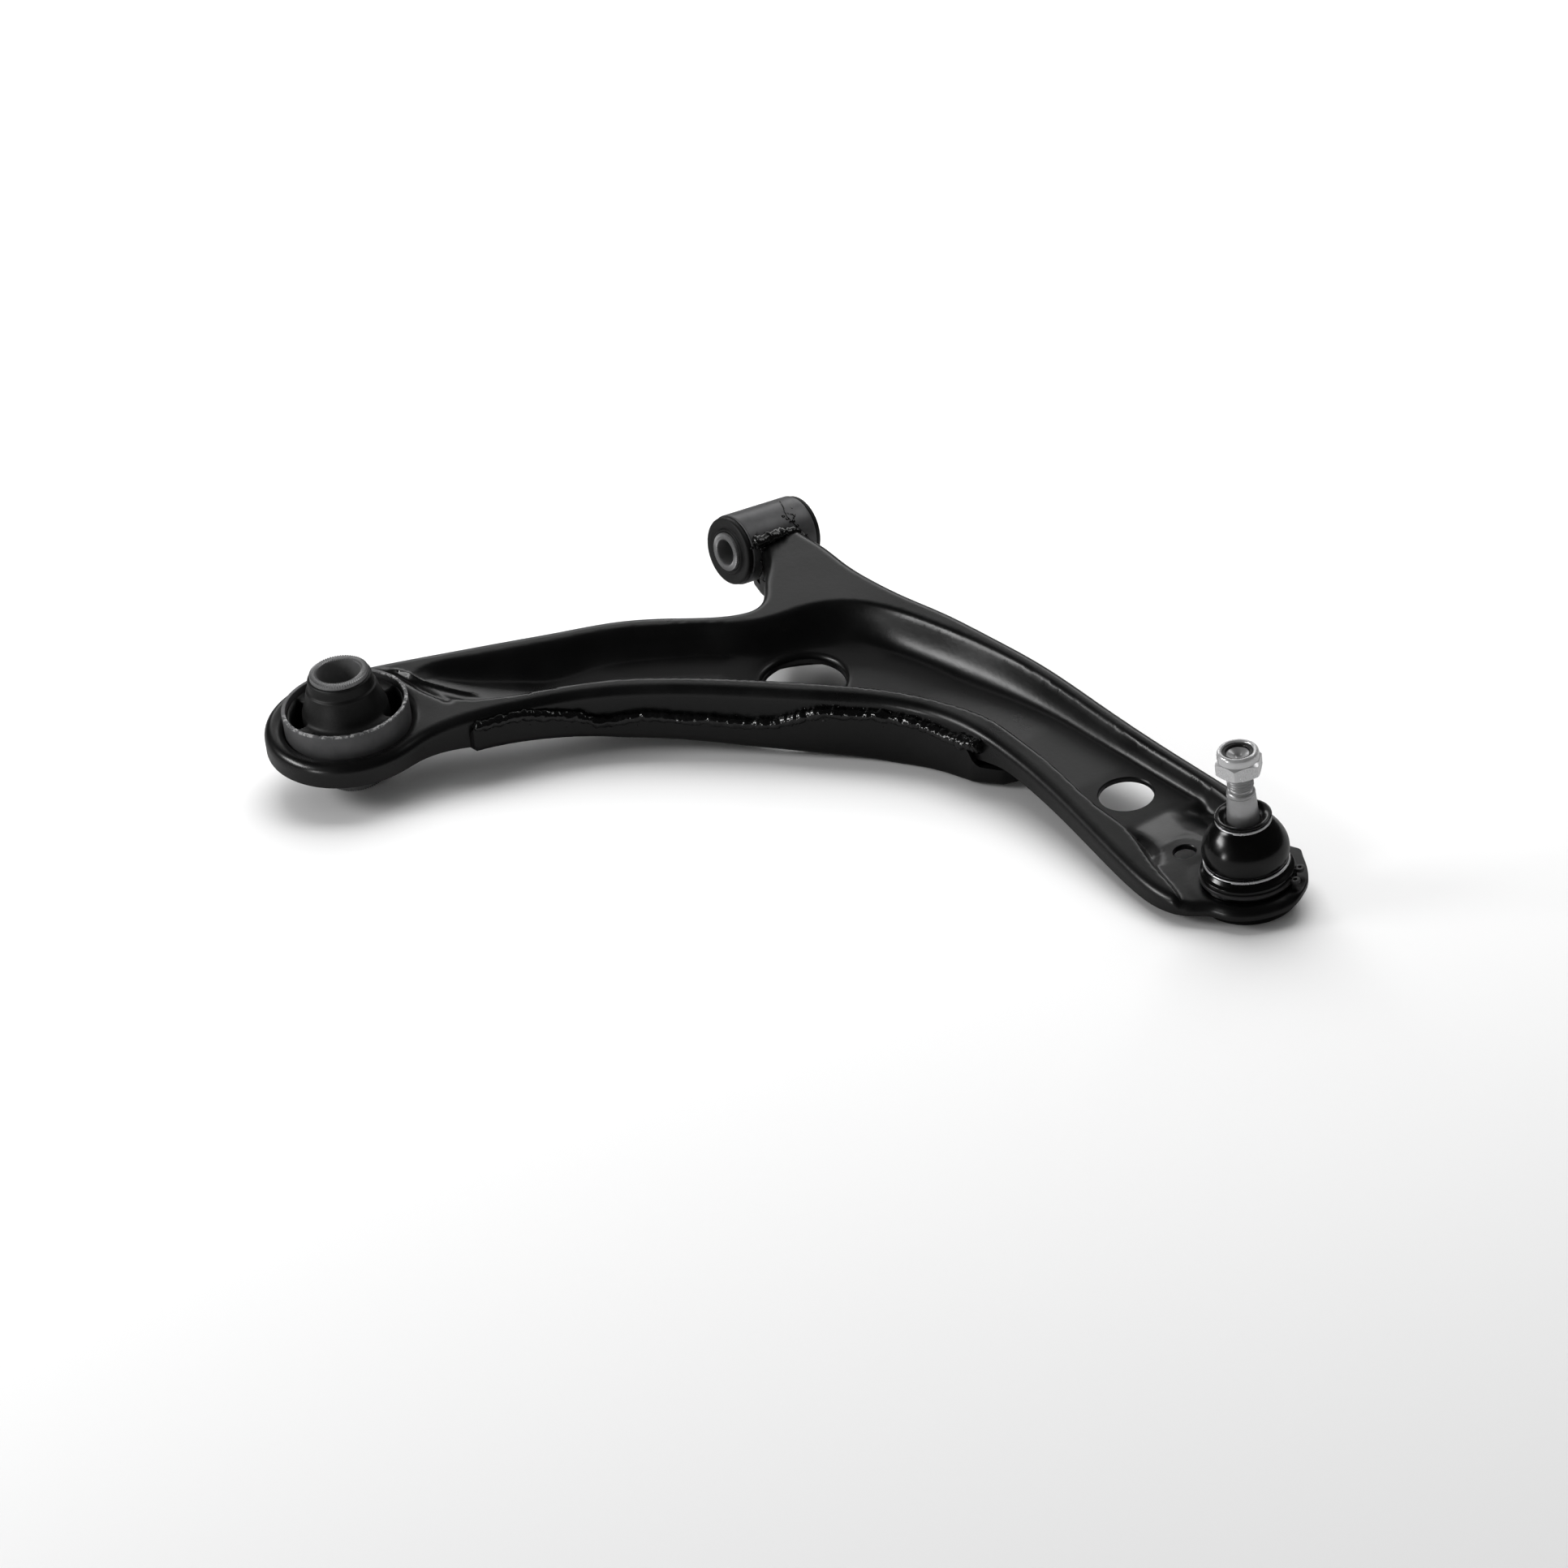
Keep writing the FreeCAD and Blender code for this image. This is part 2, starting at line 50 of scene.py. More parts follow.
# ------------------------------------------------------------------ driving dimensions (mm), as in part.py
REAR_Y, BALL_X = -237.25, 370.7
T = 2.8
PZ, PX, PY = 10.0, -0.0595, 0.0116
RS_R, RS_T, RS_Z0, RS_Z1 = 29.8, 1.9, -11.0, 15.9
RI_R, RI_BORE, RI_Z0, RI_Z1 = 14.0, 10.4, -24.6, 33.7
FB_YAW, FB_PITCH = 3.54, -9.7
FT_R, FT_RI, FT_HALF = 17.3, 15.05, 19.3
FI_R, FI_BORE, FI_HALF = 9.5, 6.2, 23.9
FL_R, FL_S0, FL_S1 = 16.6, 19.9, 22.6
BALL_R, BALL_Z = 11.0, -11.5
PAD_Z = -13.6
HB_R = 20.85
NUT_AF, NUT_Z0, NUT_Z1 = 19.0, 42.2, 53.2
H1 = (100.1, -48.8, 20.0)
H2 = (279.2, 3.4, 12.6)
H3 = (336.2, -8.0, 5.1)

OUTER = [(-35.8, -220.6), (-39.4, -234.0), (-38.2, -247.5), (-32.5, -259.8), (-23.2, -269.2), (-11.5, -275.0), (2.0, -276.7),
         (15.2, -273.7), (26.6, -266.5), (34.8, -256.0), (39.0, -243.6), (39.2, -231.5), (36.9, -219.8),
         (38.0, -196.0), (46.9, -170.4), (59.6, -143.4), (86.9, -107.8), (125.8, -70.9), (161.0, -41.5), (191.2, -28.1), (222.6, -25.0),
         (261.4, -27.3), (297.2, -32.2), (332.3, -37.1), (348.0, -38.2), (360.0, -37.0), (368.2, -33.9), (373.4, -29.9), (378.0, -26.4), (383.6, -24.2), (390.0, -19.6),
         (395.8, -10.6), (398.0, 0.0), (396.6, 9.0), (392.6, 15.6), (387.4, 20.4), (379.0, 25.6), (372.4, 29.2), (370.4, 30.1), (368.6, 29.6), (365.2, 28.4), (359.5, 28.4), (352.5, 32.4), (345.0, 35.2), (336.0, 36.2),
         (308.5, 35.5), (264.8, 33.0), (224.3, 32.0), (182.8, 30.9), (144.8, 26.3), (118.3, 22.0), (96.0, 16.8), (75.2, 13.3), (55.0, 11.8),
         (35.0, 12.3), (19.8, 11.3), (5.0, 10.6), (-4.5, 7.6), (-8.0, -1.0), (-4.0, -9.4), (6.0, -12.2), (17.0, -13.2), (27.5, -17.3), (41.0, -28.0),
         (51.5, -36.6), (54.6, -43.5), (52.6, -52.0), (46.0, -62.4), (31.9, -79.0), (18.2, -98.4), (6.9, -122.6), (-4.4, -147.2),
         (-14.0, -168.4), (-23.7, -190.0), (-31.0, -207.4)]
# pan top edge: x, y, wall width
PAN = [(38.5, -167.1, 8.5), (52.0, -138.6, 8.5), (80.3, -101.7, 8.5), (119.8, -64.0, 8.5), (135.6, -50.2, 8.5), (156.1, -34.6, 8.5), (182.0, -21.4, 8), (200.0, -15.6, 7), (222.5, -14.4, 7), (242.0, -14.8, 6), (262.3, -16.6, 6),
       (284.5, -18.8, 5), (308.9, -19.6, 7.5), (328.8, -24.8, 7.0), (345.4, -28.7, 5.5), (358.0, -31.2, 4.5), (370.0, -36.5, 5), (386.0, -44.0, 5), (408.0, -36.0, 5), (420.0, -12.0, 5), (421.0, 14.0, 5),
       (410.0, 36.0, 5), (390.0, 46.0, 5), (374.0, 41.0, 5), (360.0, 31.0, 6), (340.0, 28.2, 6), (308.5, 28.4, 6.8), (264.8, 26.0, 7.5), (224.3, 25.0, 8), (182.8, 23.6, 9.5),
       (146.5, 18.2, 11), (121.0, 11.5, 10), (99.0, 4.0, 11), (82.0, -7.0, 12), (72.0, -22.0, 12), (68.0, -40.0, 9), (61.0, -57.0, 8.5), (50.0, -70.0, 8.5), (39.2, -84.0, 9), (26.3, -102.2, 10.5),
       (15.1, -126.5, 13), (4.2, -151.0, 13), (-5.4, -171.6, 13), (-11.0, -187.0, 12), (-8.0, -198.0, 12), (3.0, -201.0, 12), (16.0, -196.0, 11), (28.5, -184.0, 9)]

_t = math.hypot(PX, PY)


def rot(axis, ang):
    return np.array(Matrix.Rotation(ang, 3, Vector(axis)))


RP = rot((PY / _t, -PX / _t, 0), math.atan(_t))


def to_row(P):
    """Pressing coordinates (plan u, v and height w above the crest plane) to the row frame."""
    return np.asarray(P, float) @ RP.T + np.array([0, 0, PZ])


def to_plate(x, y, w=0.0):
    z = PZ + PX * x + PY * y + w
    q = RP.T @ (np.array([x, y, z], float) - np.array([0, 0, PZ]))
    return (q[0], q[1])


_fy, _fp = math.radians(FB_YAW), math.radians(FB_PITCH)
FDIR = np.array([-math.sin(_fy) * math.cos(_fp), math.cos(_fy) * math.cos(_fp), math.sin(_fp)])
_q = Vector((0, 0, 1)).rotation_difference(Vector(FDIR)).to_matrix()
FROT = np.array(_q)


def on_front(P):
    """Local coordinates with z along the front bush axis, to the row frame."""
    return np.asarray(P, float) @ FROT.T


# ------------------------------------------------------------------ small numeric helpers
def smin(a, b, k):
    h = np.clip(0.5 + 0.5 * (b - a) / k, 0, 1)
    return b + (a - b) * h - k * h * (1 - h)


def smax(a, b, k):
    return -smin(-a, -b, k)


def sstep(a, b, x):
    t = np.clip((np.asarray(x, float) - a) / (b - a), 0, 1)
    return t * t * (3 - 2 * t)


def profile(points, soften):
    """Piecewise line through the points, rounded over a width."""
    xs = np.arange(points[0][0] - 60, points[-1][0] + 60, 0.5)
    ys = np.interp(xs, [p[0] for p in points], [p[1] for p in points])
    n = max(1, int(soften / 0.5))
    k = np.hanning(n + 2)[1:-1]
    k = k / k.sum()
    pad = len(k)
    yy = np.convolve(np.pad(ys, pad, mode="edge"), k, mode="same")[pad:-pad]
    return lambda x: np.interp(x, xs, yy)


def pspline(pts, step=0.4):
    """Closed cubic curve through the points. Extra columns are carried along."""
    P = np.asarray(pts, float)
    n = len(P)
    h = np.linalg.norm((np.roll(P, -1, 0) - P)[:, :2], axis=1)
    A = np.zeros((n, n))
    B = np.zeros((n, P.shape[1]))
    for i in range(n):
        hp, hi = h[i - 1], h[i]
        A[i, i - 1] += hp
        A[i, i] += 2 * (hp + hi)
        A[i, (i + 1) % n] += hi
        B[i] = 6 * ((P[(i + 1) % n] - P[i]) / hi - (P[i] - P[i - 1]) / hp)
    M = np.linalg.solve(A, B)
    out = []
    for i in range(n):
        j = (i + 1) % n
        m = max(2, int(math.ceil(h[i] / step)))
        t = (np.arange(m) / m)[:, None]
        a, b = 1 - t, t
        out.append(a * P[i] + b * P[j] + h[i] ** 2 / 6 * ((a ** 3 - a) * M[i] + (b ** 3 - b) * M[j]))
    return np.concatenate(out)


def resample(P, step):
    """Closed dense polyline to even spacing near step."""
    d = np.linalg.norm((np.roll(P, -1, 0) - P)[:, :2], axis=1)
    s = np.concatenate([[0], np.cumsum(d)])
    n = int(round(s[-1] / step))
    t = np.arange(n) * s[-1] / n
    Q = np.vstack([P, P[:1]])
    return np.stack([np.interp(t, s, Q[:, k]) for k in range(P.shape[1])], 1), t, s[-1]


def normals2(P):
    t = np.roll(P, -1, 0)[:, :2] - np.roll(P, 1, 0)[:, :2]
    t /= np.linalg.norm(t, axis=1)[:, None]
    return np.stack([t[:, 1], -t[:, 0]], 1)


class Outline:
    """Signed distance, positive inside, to a closed anticlockwise curve."""

    def __init__(self, P):
        self.P = P[:, :2].copy()
        self.kd = kdtree.KDTree(len(P))
        for i, p in enumerate(self.P):
            self.kd.insert((p[0], p[1], 0.0), i)
        self.kd.balance()

    def __call__(self, Q):
        f = self.kd.find
        idx = np.fromiter((f((x, y, 0.0))[1] for x, y in Q[:, :2]), int, len(Q))
        P, n = self.P, len(self.P)
        best = np.full(len(Q), 1e9)
        sd = np.zeros(len(Q))
        for a in (idx - 1, idx):
            A, B = P[a % n], P[(a + 1) % n]
            t = B - A
            k = np.clip(((Q[:, :2] - A) * t).sum(1) / (t * t).sum(1), 0, 1)
            d = Q[:, :2] - (A + t * k[:, None])
            L = np.hypot(d[:, 0], d[:, 1])
            s = np.where(t[:, 0] * d[:, 1] - t[:, 1] * d[:, 0] >= 0, 1.0, -1.0)
            m = L < best
            best = np.where(m, L, best)
            sd = np.where(m, s * L, sd)
        return sd, idx


def offset_curve(pts, d):
    P = pspline(pts, 1.0)
    return P[:, :2] + normals2(P) * d


# ------------------------------------------------------------------ mesh helpers
def mesh_object(name, verts_mm, faces, smooth=True, sharp=None, normals=None, recalc=False):
    me = bpy.data.meshes.new(name)
    v = np.asarray(verts_mm, float) * MM
    me.from_pydata(v.tolist(), [], [list(map(int, f)) for f in faces])
    me.validate(verbose=False)
    if recalc:
        bm = bmesh.new()
        bm.from_mesh(me)
        bmesh.ops.recalc_face_normals(bm, faces=bm.faces)
        bm.to_mesh(me)
        bm.free()
    me.polygons.foreach_set("use_smooth", [smooth] * len(me.polygons))
    if sharp is not None:
        me.set_sharp_from_angle(angle=math.radians(sharp))
    me.update()
    if normals is not None:
        me.normals_split_custom_set_from_vertices([tuple(x) for x in normals])
    ob = bpy.data.objects.new(name, me)
    bpy.context.scene.collection.objects.link(ob)
    return ob


def piece(ob, body, mat, replaces=()):
    ob.data.materials.clear()
    ob.data.materials.append(mat)
    if body:
        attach(ob, body)
    if replaces:
        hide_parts(*replaces)
    return ob


def fillet(pts, n=6):
    """Closed (r, z[, radius]) profile with its corners rounded."""
    out = []
    m = len(pts)
    for i in range(m):
        p = np.array(pts[i][:2], float)
        rad = pts[i][2] if len(pts[i]) > 2 else 0.0
        if rad <= 0:
            out.append(tuple(p))
            continue
        a = np.array(pts[i - 1][:2], float) - p
        b = np.array(pts[(i + 1) % m][:2], float) - p
        la, lb = np.linalg.norm(a), np.linalg.norm(b)
        a, b = a / la, b / lb
        ang = math.acos(max(-1, min(1, float(a @ b))))
        if ang > math.pi - 0.02:
            out.append(tuple(p))
            continue
        tl = min(rad / math.tan(ang / 2), 0.49 * la, 0.49 * lb)
        r = tl * math.tan(ang / 2)
        c = p + (a + b) / np.linalg.norm(a + b) * (r / math.sin(ang / 2))
        s, e = p + a * tl - c, p + b * tl - c
        a0 = math.atan2(s[1], s[0])
        da = math.atan2(e[1], e[0]) - a0
        da = (da + math.pi) % (2 * math.pi) - math.pi
        for k in range(n + 1):
            th = a0 + da * k / n
            out.append((c[0] + r * math.cos(th), c[1] + r * math.sin(th)))
    return out


def revolve(prof, seg=128, closed=True, warp=None):
    """Rings of the (r, z) profile turned about z. warp(r, z, angle) may move the points."""
    pr = np.asarray(prof, float)
    n = len(pr)
    ang = np.arange(seg) * 2 * math.pi / seg
    V = np.zeros((seg, n, 3))
    R = np.repeat(pr[None, :, 0], seg, 0)
    Z = np.repeat(pr[None, :, 1], seg, 0)
    A = np.repeat(ang[:, None], n, 1)
    if warp is not None:
        R, Z, A = warp(R, Z, A)
    V[..., 0], V[..., 1], V[..., 2] = R * np.cos(A), R * np.sin(A), Z
    V = V.reshape(-1, 3)
    F = []
    last = n if closed else n - 1
    for i in range(seg):
        j = (i + 1) % seg
        for k in range(last):
            l = (k + 1) % n
            a, b, c, d = i * n + k, j * n + k, j * n + l, i * n + l
            F.append((a, b, c, d))
    V, F = weld_axis(V, F)
    return V, F


def weld_axis(V, F):
    """Merge the points on the axis and drop faces that collapse."""
    onax = np.hypot(V[:, 0], V[:, 1]) < 1e-6
    if not onax.any():
        return V, F
    key, remap, keep = {}, np.arange(len(V)), []
    for i in range(len(V)):
        if onax[i]:
            k = round(float(V[i, 2]), 4)
            if k in key:
                remap[i] = key[k]
                continue
            key[k] = i
    out = []
    for f in F:
        g = []
        for i in f:
            q = remap[i]
            if not g or g[-1] != q:
                g.append(q)
        if len(g) > 1 and g[0] == g[-1]:
            g.pop()
        if len(g) >= 3:
            out.append(tuple(g))
    used = sorted(set(i for f in out for i in f))
    idx = {u: k for k, u in enumerate(used)}
    return V[used], [tuple(idx[i] for i in f) for f in out]


def tube_along(path, radius, seg=12, closed=False, shape=None, caps=True):
    """Round section swept along a path of points. radius is a number or one value per point; shape scales by (i, angle)."""
    P = np.asarray(path, float)
    n = len(P)
    if closed:
        tan = np.roll(P, -1, 0) - np.roll(P, 1, 0)
    else:
        tan = np.gradient(P, axis=0)
    tan /= np.linalg.norm(tan, axis=1)[:, None]
    rad = np.full(n, radius) if np.isscalar(radius) else np.asarray(radius)
    up = np.array([0, 0, 1.0])
    if abs(tan[0] @ up) > 0.9:
        up = np.array([1.0, 0, 0])
    side = np.cross(tan[0], up)
    side /= np.linalg.norm(side)
    S = []
    for i in range(n):
        side = side - tan[i] * (side @ tan[i])
        side /= np.linalg.norm(side)
        S.append(side.copy())
    S = np.array(S)
    U = np.cross(S, tan)
    ang = np.arange(seg) * 2 * math.pi / seg
    V = np.zeros((n, seg, 3))
    for k, a in enumerate(ang):
        rr = rad if shape is None else rad * shape(np.arange(n), a)
        V[:, k] = P + (S * math.cos(a) + U * math.sin(a)) * np.asarray(rr)[:, None]
    V = V.reshape(-1, 3)
    F = []
    for i in range(n if closed else n - 1):
        j = (i + 1) % n
        for k in range(seg):
            l = (k + 1) % seg
            F.append((i * seg + k, i * seg + l, j * seg + l, j * seg + k))
    if not closed and caps:
        c0, c1 = len(V), len(V) + 1
        V = np.vstack([V, P[0], P[-1]])
        for k in range(seg):
            l = (k + 1) % seg
            F.append((c0, l, k))
            F.append((c1, (n - 1) * seg + k, (n - 1) * seg + l))
    return V, F


def join(parts):
    V, F, o = [], [], 0
    for v, f in parts:
        V.append(np.asarray(v, float))
        F += [tuple(i + o for i in q) for q in f]
        o += len(v)
    return np.vstack(V), F


# ------------------------------------------------------------------ materials
def new_mat(name):
    m = bpy.data.materials.new(name)
    m.use_nodes = True
    nt = m.node_tree
    nt.nodes.clear()
    out = nt.nodes.new("ShaderNodeOutputMaterial")
    b = nt.nodes.new("ShaderNodeBsdfPrincipled")
    nt.links.new(b.outputs[0], out.inputs[0])
    return m, nt, b


def N(nt, kind, **kw):
    n = nt.nodes.new(kind)
    for k, v in kw.items():
        if k.startswith("i_"):
            n.inputs[k[2:].replace("_", " ")].default_value = v
        else:
            setattr(n, k, v)
    return n


def noise_tex(nt, scale, detail=4.0, rough=0.55, coord=None, dist=0.0, stretch=None):
    if coord is None:
        coord = N(nt, "ShaderNodeTexCoord").outputs["Object"]
    if stretch is not None:
        mp = N(nt, "ShaderNodeMapping")
        mp.inputs["Scale"].default_value = stretch
        nt.links.new(coord, mp.inputs["Vector"])
        coord = mp.outputs[0]
    t = N(nt, "ShaderNodeTexNoise")
    t.inputs["Scale"].default_value = scale
    t.inputs["Detail"].default_value = detail
    t.inputs["Roughness"].default_value = rough
    t.inputs["Distortion"].default_value = dist
    nt.links.new(coord, t.inputs["Vector"])
    return t.outputs["Fac"]


def ramp(nt, src, stops):
    r = N(nt, "ShaderNodeValToRGB")
    el = r.color_ramp.elements
    while len(el) < len(stops):
        el.new(0.5)
    for e, (p, c) in zip(el, stops):
        e.position = p
        e.color = c if len(c) == 4 else (*c, 1)
    nt.links.new(src, r.inputs[0])
    return r.outputs[0]


def mathn(nt, op, a, b=None, clamp=False):
    m = N(nt, "ShaderNodeMath", operation=op, use_clamp=clamp)
    for k, v in enumerate((a, b)):
        if v is None:
            continue
        if isinstance(v, (int, float)):
            m.inputs[k].default_value = v
        else:
            nt.links.new(v, m.inputs[k])
    return m.outputs[0]


def mixc(nt, fac, a, b):
    m = N(nt, "ShaderNodeMix", data_type="RGBA")
    for sock, v in ((m.inputs["Factor"], fac), (m.inputs[6], a), (m.inputs[7], b)):
        if isinstance(v, (int, float)):
            sock.default_value = v
        elif isinstance(v, (tuple, list)):
            sock.default_value = (*v, 1) if len(v) == 3 else v
        else:
            nt.links.new(v, sock)
    return m.outputs[2]


def g(v):
    return (v, v, v, 1)


def bump(nt, b, height, strength, dist, prev=None):
    n = N(nt, "ShaderNodeBump")
    n.inputs["Strength"].default_value = strength
    n.inputs["Distance"].default_value = dist
    nt.links.new(height, n.inputs["Height"])
    if prev is not None:
        nt.links.new(prev, n.inputs["Normal"])
    nt.links.new(n.outputs[0], b.inputs["Normal"])
    return n.outputs[0]


def paint(name, base=0.0015, rough=0.30, spec=0.5, dust=0.0035, peel=0.08, scratch=0.25):
    """Semi-gloss black coating: orange peel, faint dust patches, fine handling scratches."""
    m, nt, b = new_mat(name)
    big = noise_tex(nt, 22, 5, 0.6)
    fine = noise_tex(nt, 420, 3, 0.5)
    speck = noise_tex(nt, 1500, 2, 0.6)
    patch = ramp(nt, big, [(0.42, g(0)), (0.72, g(1))])
    col = mixc(nt, patch, (base, base, base * 1.03), (dust, dust, dust * 1.03))
    specks = ramp(nt, speck, [(0.76, g(0)), (0.84, g(1))])
    col = mixc(nt, mathn(nt, "MULTIPLY", specks, 0.20), col, (0.03, 0.03, 0.03))
    nt.links.new(col, b.inputs["Base Color"])
    r1 = ramp(nt, big, [(0.3, g(rough - 0.05)), (0.75, g(rough + 0.08))])
    scr = noise_tex(nt, 60, 2, 0.5, stretch=(0.25, 6.0, 3.0), dist=0.4)
    scr2 = ramp(nt, scr, [(0.62, g(0)), (0.66, g(1)), (0.70, g(0))])
    rr = mathn(nt, "ADD", r1, mathn(nt, "MULTIPLY", scr2, 0.10 * scratch))
    nt.links.new(rr, b.inputs["Roughness"])
    b.inputs["Specular IOR Level"].default_value = spec
    n1 = bump(nt, b, fine, peel, 0.0004)
    bump(nt, b, big, 0.10, 0.0015, n1)
    return m


def rubber(name, base=0.003, rough=0.5, spec=0.4, grain=0.2):
    m, nt, b = new_mat(name)
    big = noise_tex(nt, 60, 4, 0.6)
    fine = noise_tex(nt, 900, 3, 0.6)
    col = mixc(nt, ramp(nt, big, [(0.4, g(0)), (0.7, g(1))]), (base, base, base), (base * 1.9, base * 1.9, base * 1.95))
    nt.links.new(col, b.inputs["Base Color"])
    nt.links.new(ramp(nt, big, [(0.3, g(rough - 0.06)), (0.8, g(rough + 0.1))]), b.inputs["Roughness"])
    b.inputs["Specular IOR Level"].default_value = spec
    bump(nt, b, fine, grain, 0.0003)
    return m


def metal(name, base=0.5, rough=0.3, metallic=1.0, brush=None, stain=0.35, dark=0.5, grain=0.1, spec=0.5, fleck=0.35):
    m, nt, b = new_mat(name)
    big = noise_tex(nt, 90, 5, 0.62)
    fine = noise_tex(nt, 1100, 3, 0.6, stretch=brush)
    d = base * dark
    k = ramp(nt, big, [(0.45, g(0)), (0.72, g(1))])
    col = mixc(nt, mathn(nt, "MULTIPLY", k, stain), (base, base, base * 1.01), (d, d, d))
    col = mixc(nt, mathn(nt, "MULTIPLY", fine, fleck), col, (base * 1.25, base * 1.25, base * 1.27))
    nt.links.new(col, b.inputs["Base Color"])
    nt.links.new(mathn(nt, "ADD", ramp(nt, big, [(0.3, g(rough)), (0.8, g(rough + 0.14))]), mathn(nt, "MULTIPLY", fine, 0.08)), b.inputs["Roughness"])
    b.inputs["Metallic"].default_value = metallic
    b.inputs["Specular IOR Level"].default_value = spec
    bump(nt, b, fine, grain, 0.0002)
    return m


M_PAINT = paint("black_coat")
M_PLATE = paint("black_coat_plate", base=0.0012, rough=0.42, dust=0.003)
M_WELD = paint("weld_coat", base=0.0015, rough=0.16, dust=0.004, peel=0.5, spec=0.6)
M_HOUSE = paint("gloss_coat", base=0.001, rough=0.16, dust=0.002, peel=0.03)
M_RUBBER = rubber("moulded_rubber")
M_BOOT = rubber("boot_rubber_gloss", base=0.001, rough=0.19, spec=0.5, grain=0.03)
M_NYLON = rubber("nylon_black", base=0.012, rough=0.3, grain=0.05)
M_ZINC = metal("clear_zinc", base=0.80, rough=0.17, metallic=0.65, brush=(1, 1, 0.3), stain=0.15, dark=0.6, grain=0.02, fleck=0.08)
M_STUD = metal("ground_steel", base=0.55, rough=0.24, metallic=0.75, brush=(0.2, 0.2, 5), stain=0.5, dark=0.5, grain=0.05, fleck=0.2)
M_WIRE = metal("spring_wire", base=0.85, rough=0.2, metallic=0.85, stain=0.15)
M_SLEEVE = metal("serrated_steel", base=0.20, rough=0.36, metallic=0.5, stain=0.5, dark=0.35, grain=0.3)
M_RING = metal("black_oxide_ring", base=0.03, rough=0.25, metallic=0.4)
M_ACETAL, _nt, _b = new_mat("natural_acetal")
_n = noise_tex(_nt, 300, 3, 0.5)
_nt.links.new(mixc(_nt, _n, (0.70, 0.68, 0.60), (0.80, 0.78, 0.71)), _b.inputs["Base Color"])
_b.inputs["Roughness"].default_value = 0.38
bump(_nt, _b, _n, 0.1, 0.0002)


def tube_mat():
    """Front tube: thin dark paint over turned steel, greyer where it was rubbed, dark soot blotches scattered over it.
    """
    m, nt, b = new_mat("turned_tube")
    co = N(nt, "ShaderNodeTexCoord").outputs["Object"]
    turn = noise_tex(nt, 260, 4, 0.6, coord=co, stretch=(0.35, 8.0, 0.35))
    big = noise_tex(nt, 45, 4, 0.6, coord=co)
    blot = noise_tex(nt, 130, 3, 0.5, coord=co, dist=0.6)
    col = mixc(nt, ramp(nt, big, [(0.35, g(0)), (0.7, g(1))]), (0.055, 0.055, 0.057), (0.10, 0.10, 0.102))
    col = mixc(nt, mathn(nt, "MULTIPLY", turn, 0.35), col, (0.13, 0.13, 0.132))
    col = mixc(nt, ramp(nt, blot, [(0.64, g(0)), (0.70, g(1))]), col, (0.008, 0.008, 0.008))
    nt.links.new(col, b.inputs["Base Color"])
    nt.links.new(ramp(nt, turn, [(0.2, g(0.30)), (0.8, g(0.46))]), b.inputs["Roughness"])
    b.inputs["Metallic"].default_value = 0.55
    bump(nt, b, turn, 0.12, 0.0003)
    return m


def outer_sleeve_mat():
    """Rear outer sleeve: grey phosphate, its top edge chipped to bright metal on the +X side."""
    m, nt, b = new_mat("phosphate_sleeve")
    co = N(nt, "ShaderNodeTexCoord").outputs["Object"]
    sep = N(nt, "ShaderNodeSeparateXYZ")
    nt.links.new(co, sep.inputs[0])
    big = noise_tex(nt, 60, 4, 0.6, coord=co)
    fine = noise_tex(nt, 700, 3, 0.6, coord=co)
    col = mixc(nt, ramp(nt, big, [(0.4, g(0)), (0.7, g(1))]), (0.070, 0.070, 0.072), (0.095, 0.095, 0.097))
    edge = mathn(nt, "GREATER_THAN", sep.outputs["Z"], 0.0151)
    side = ramp(nt, mathn(nt, "MULTIPLY_ADD", sep.outputs["X"], 16.0), [(0.0, g(0.04)), (0.30, g(0.08)), (0.36, g(1))])
    chips = ramp(nt, noise_tex(nt, 420, 3, 0.7, coord=co), [(0.50, g(0)), (0.56, g(1))])
    f = mathn(nt, "MULTIPLY", mathn(nt, "MULTIPLY", edge, chips), side)
    col = mixc(nt, f, col, (0.30, 0.30, 0.30))
    nt.links.new(col, b.inputs["Base Color"])
    nt.links.new(ramp(nt, fine, [(0.2, g(0.40)), (0.8, g(0.52))]), b.inputs["Roughness"])
    b.inputs["Metallic"].default_value = 0.35
    bump(nt, b, fine, 0.15, 0.0002)
    return m


M_TUBE = tube_mat()
M_OUTER = outer_sleeve_mat()

# ------------------------------------------------------------------ pressed sheet builder
THS = math.radians(75)


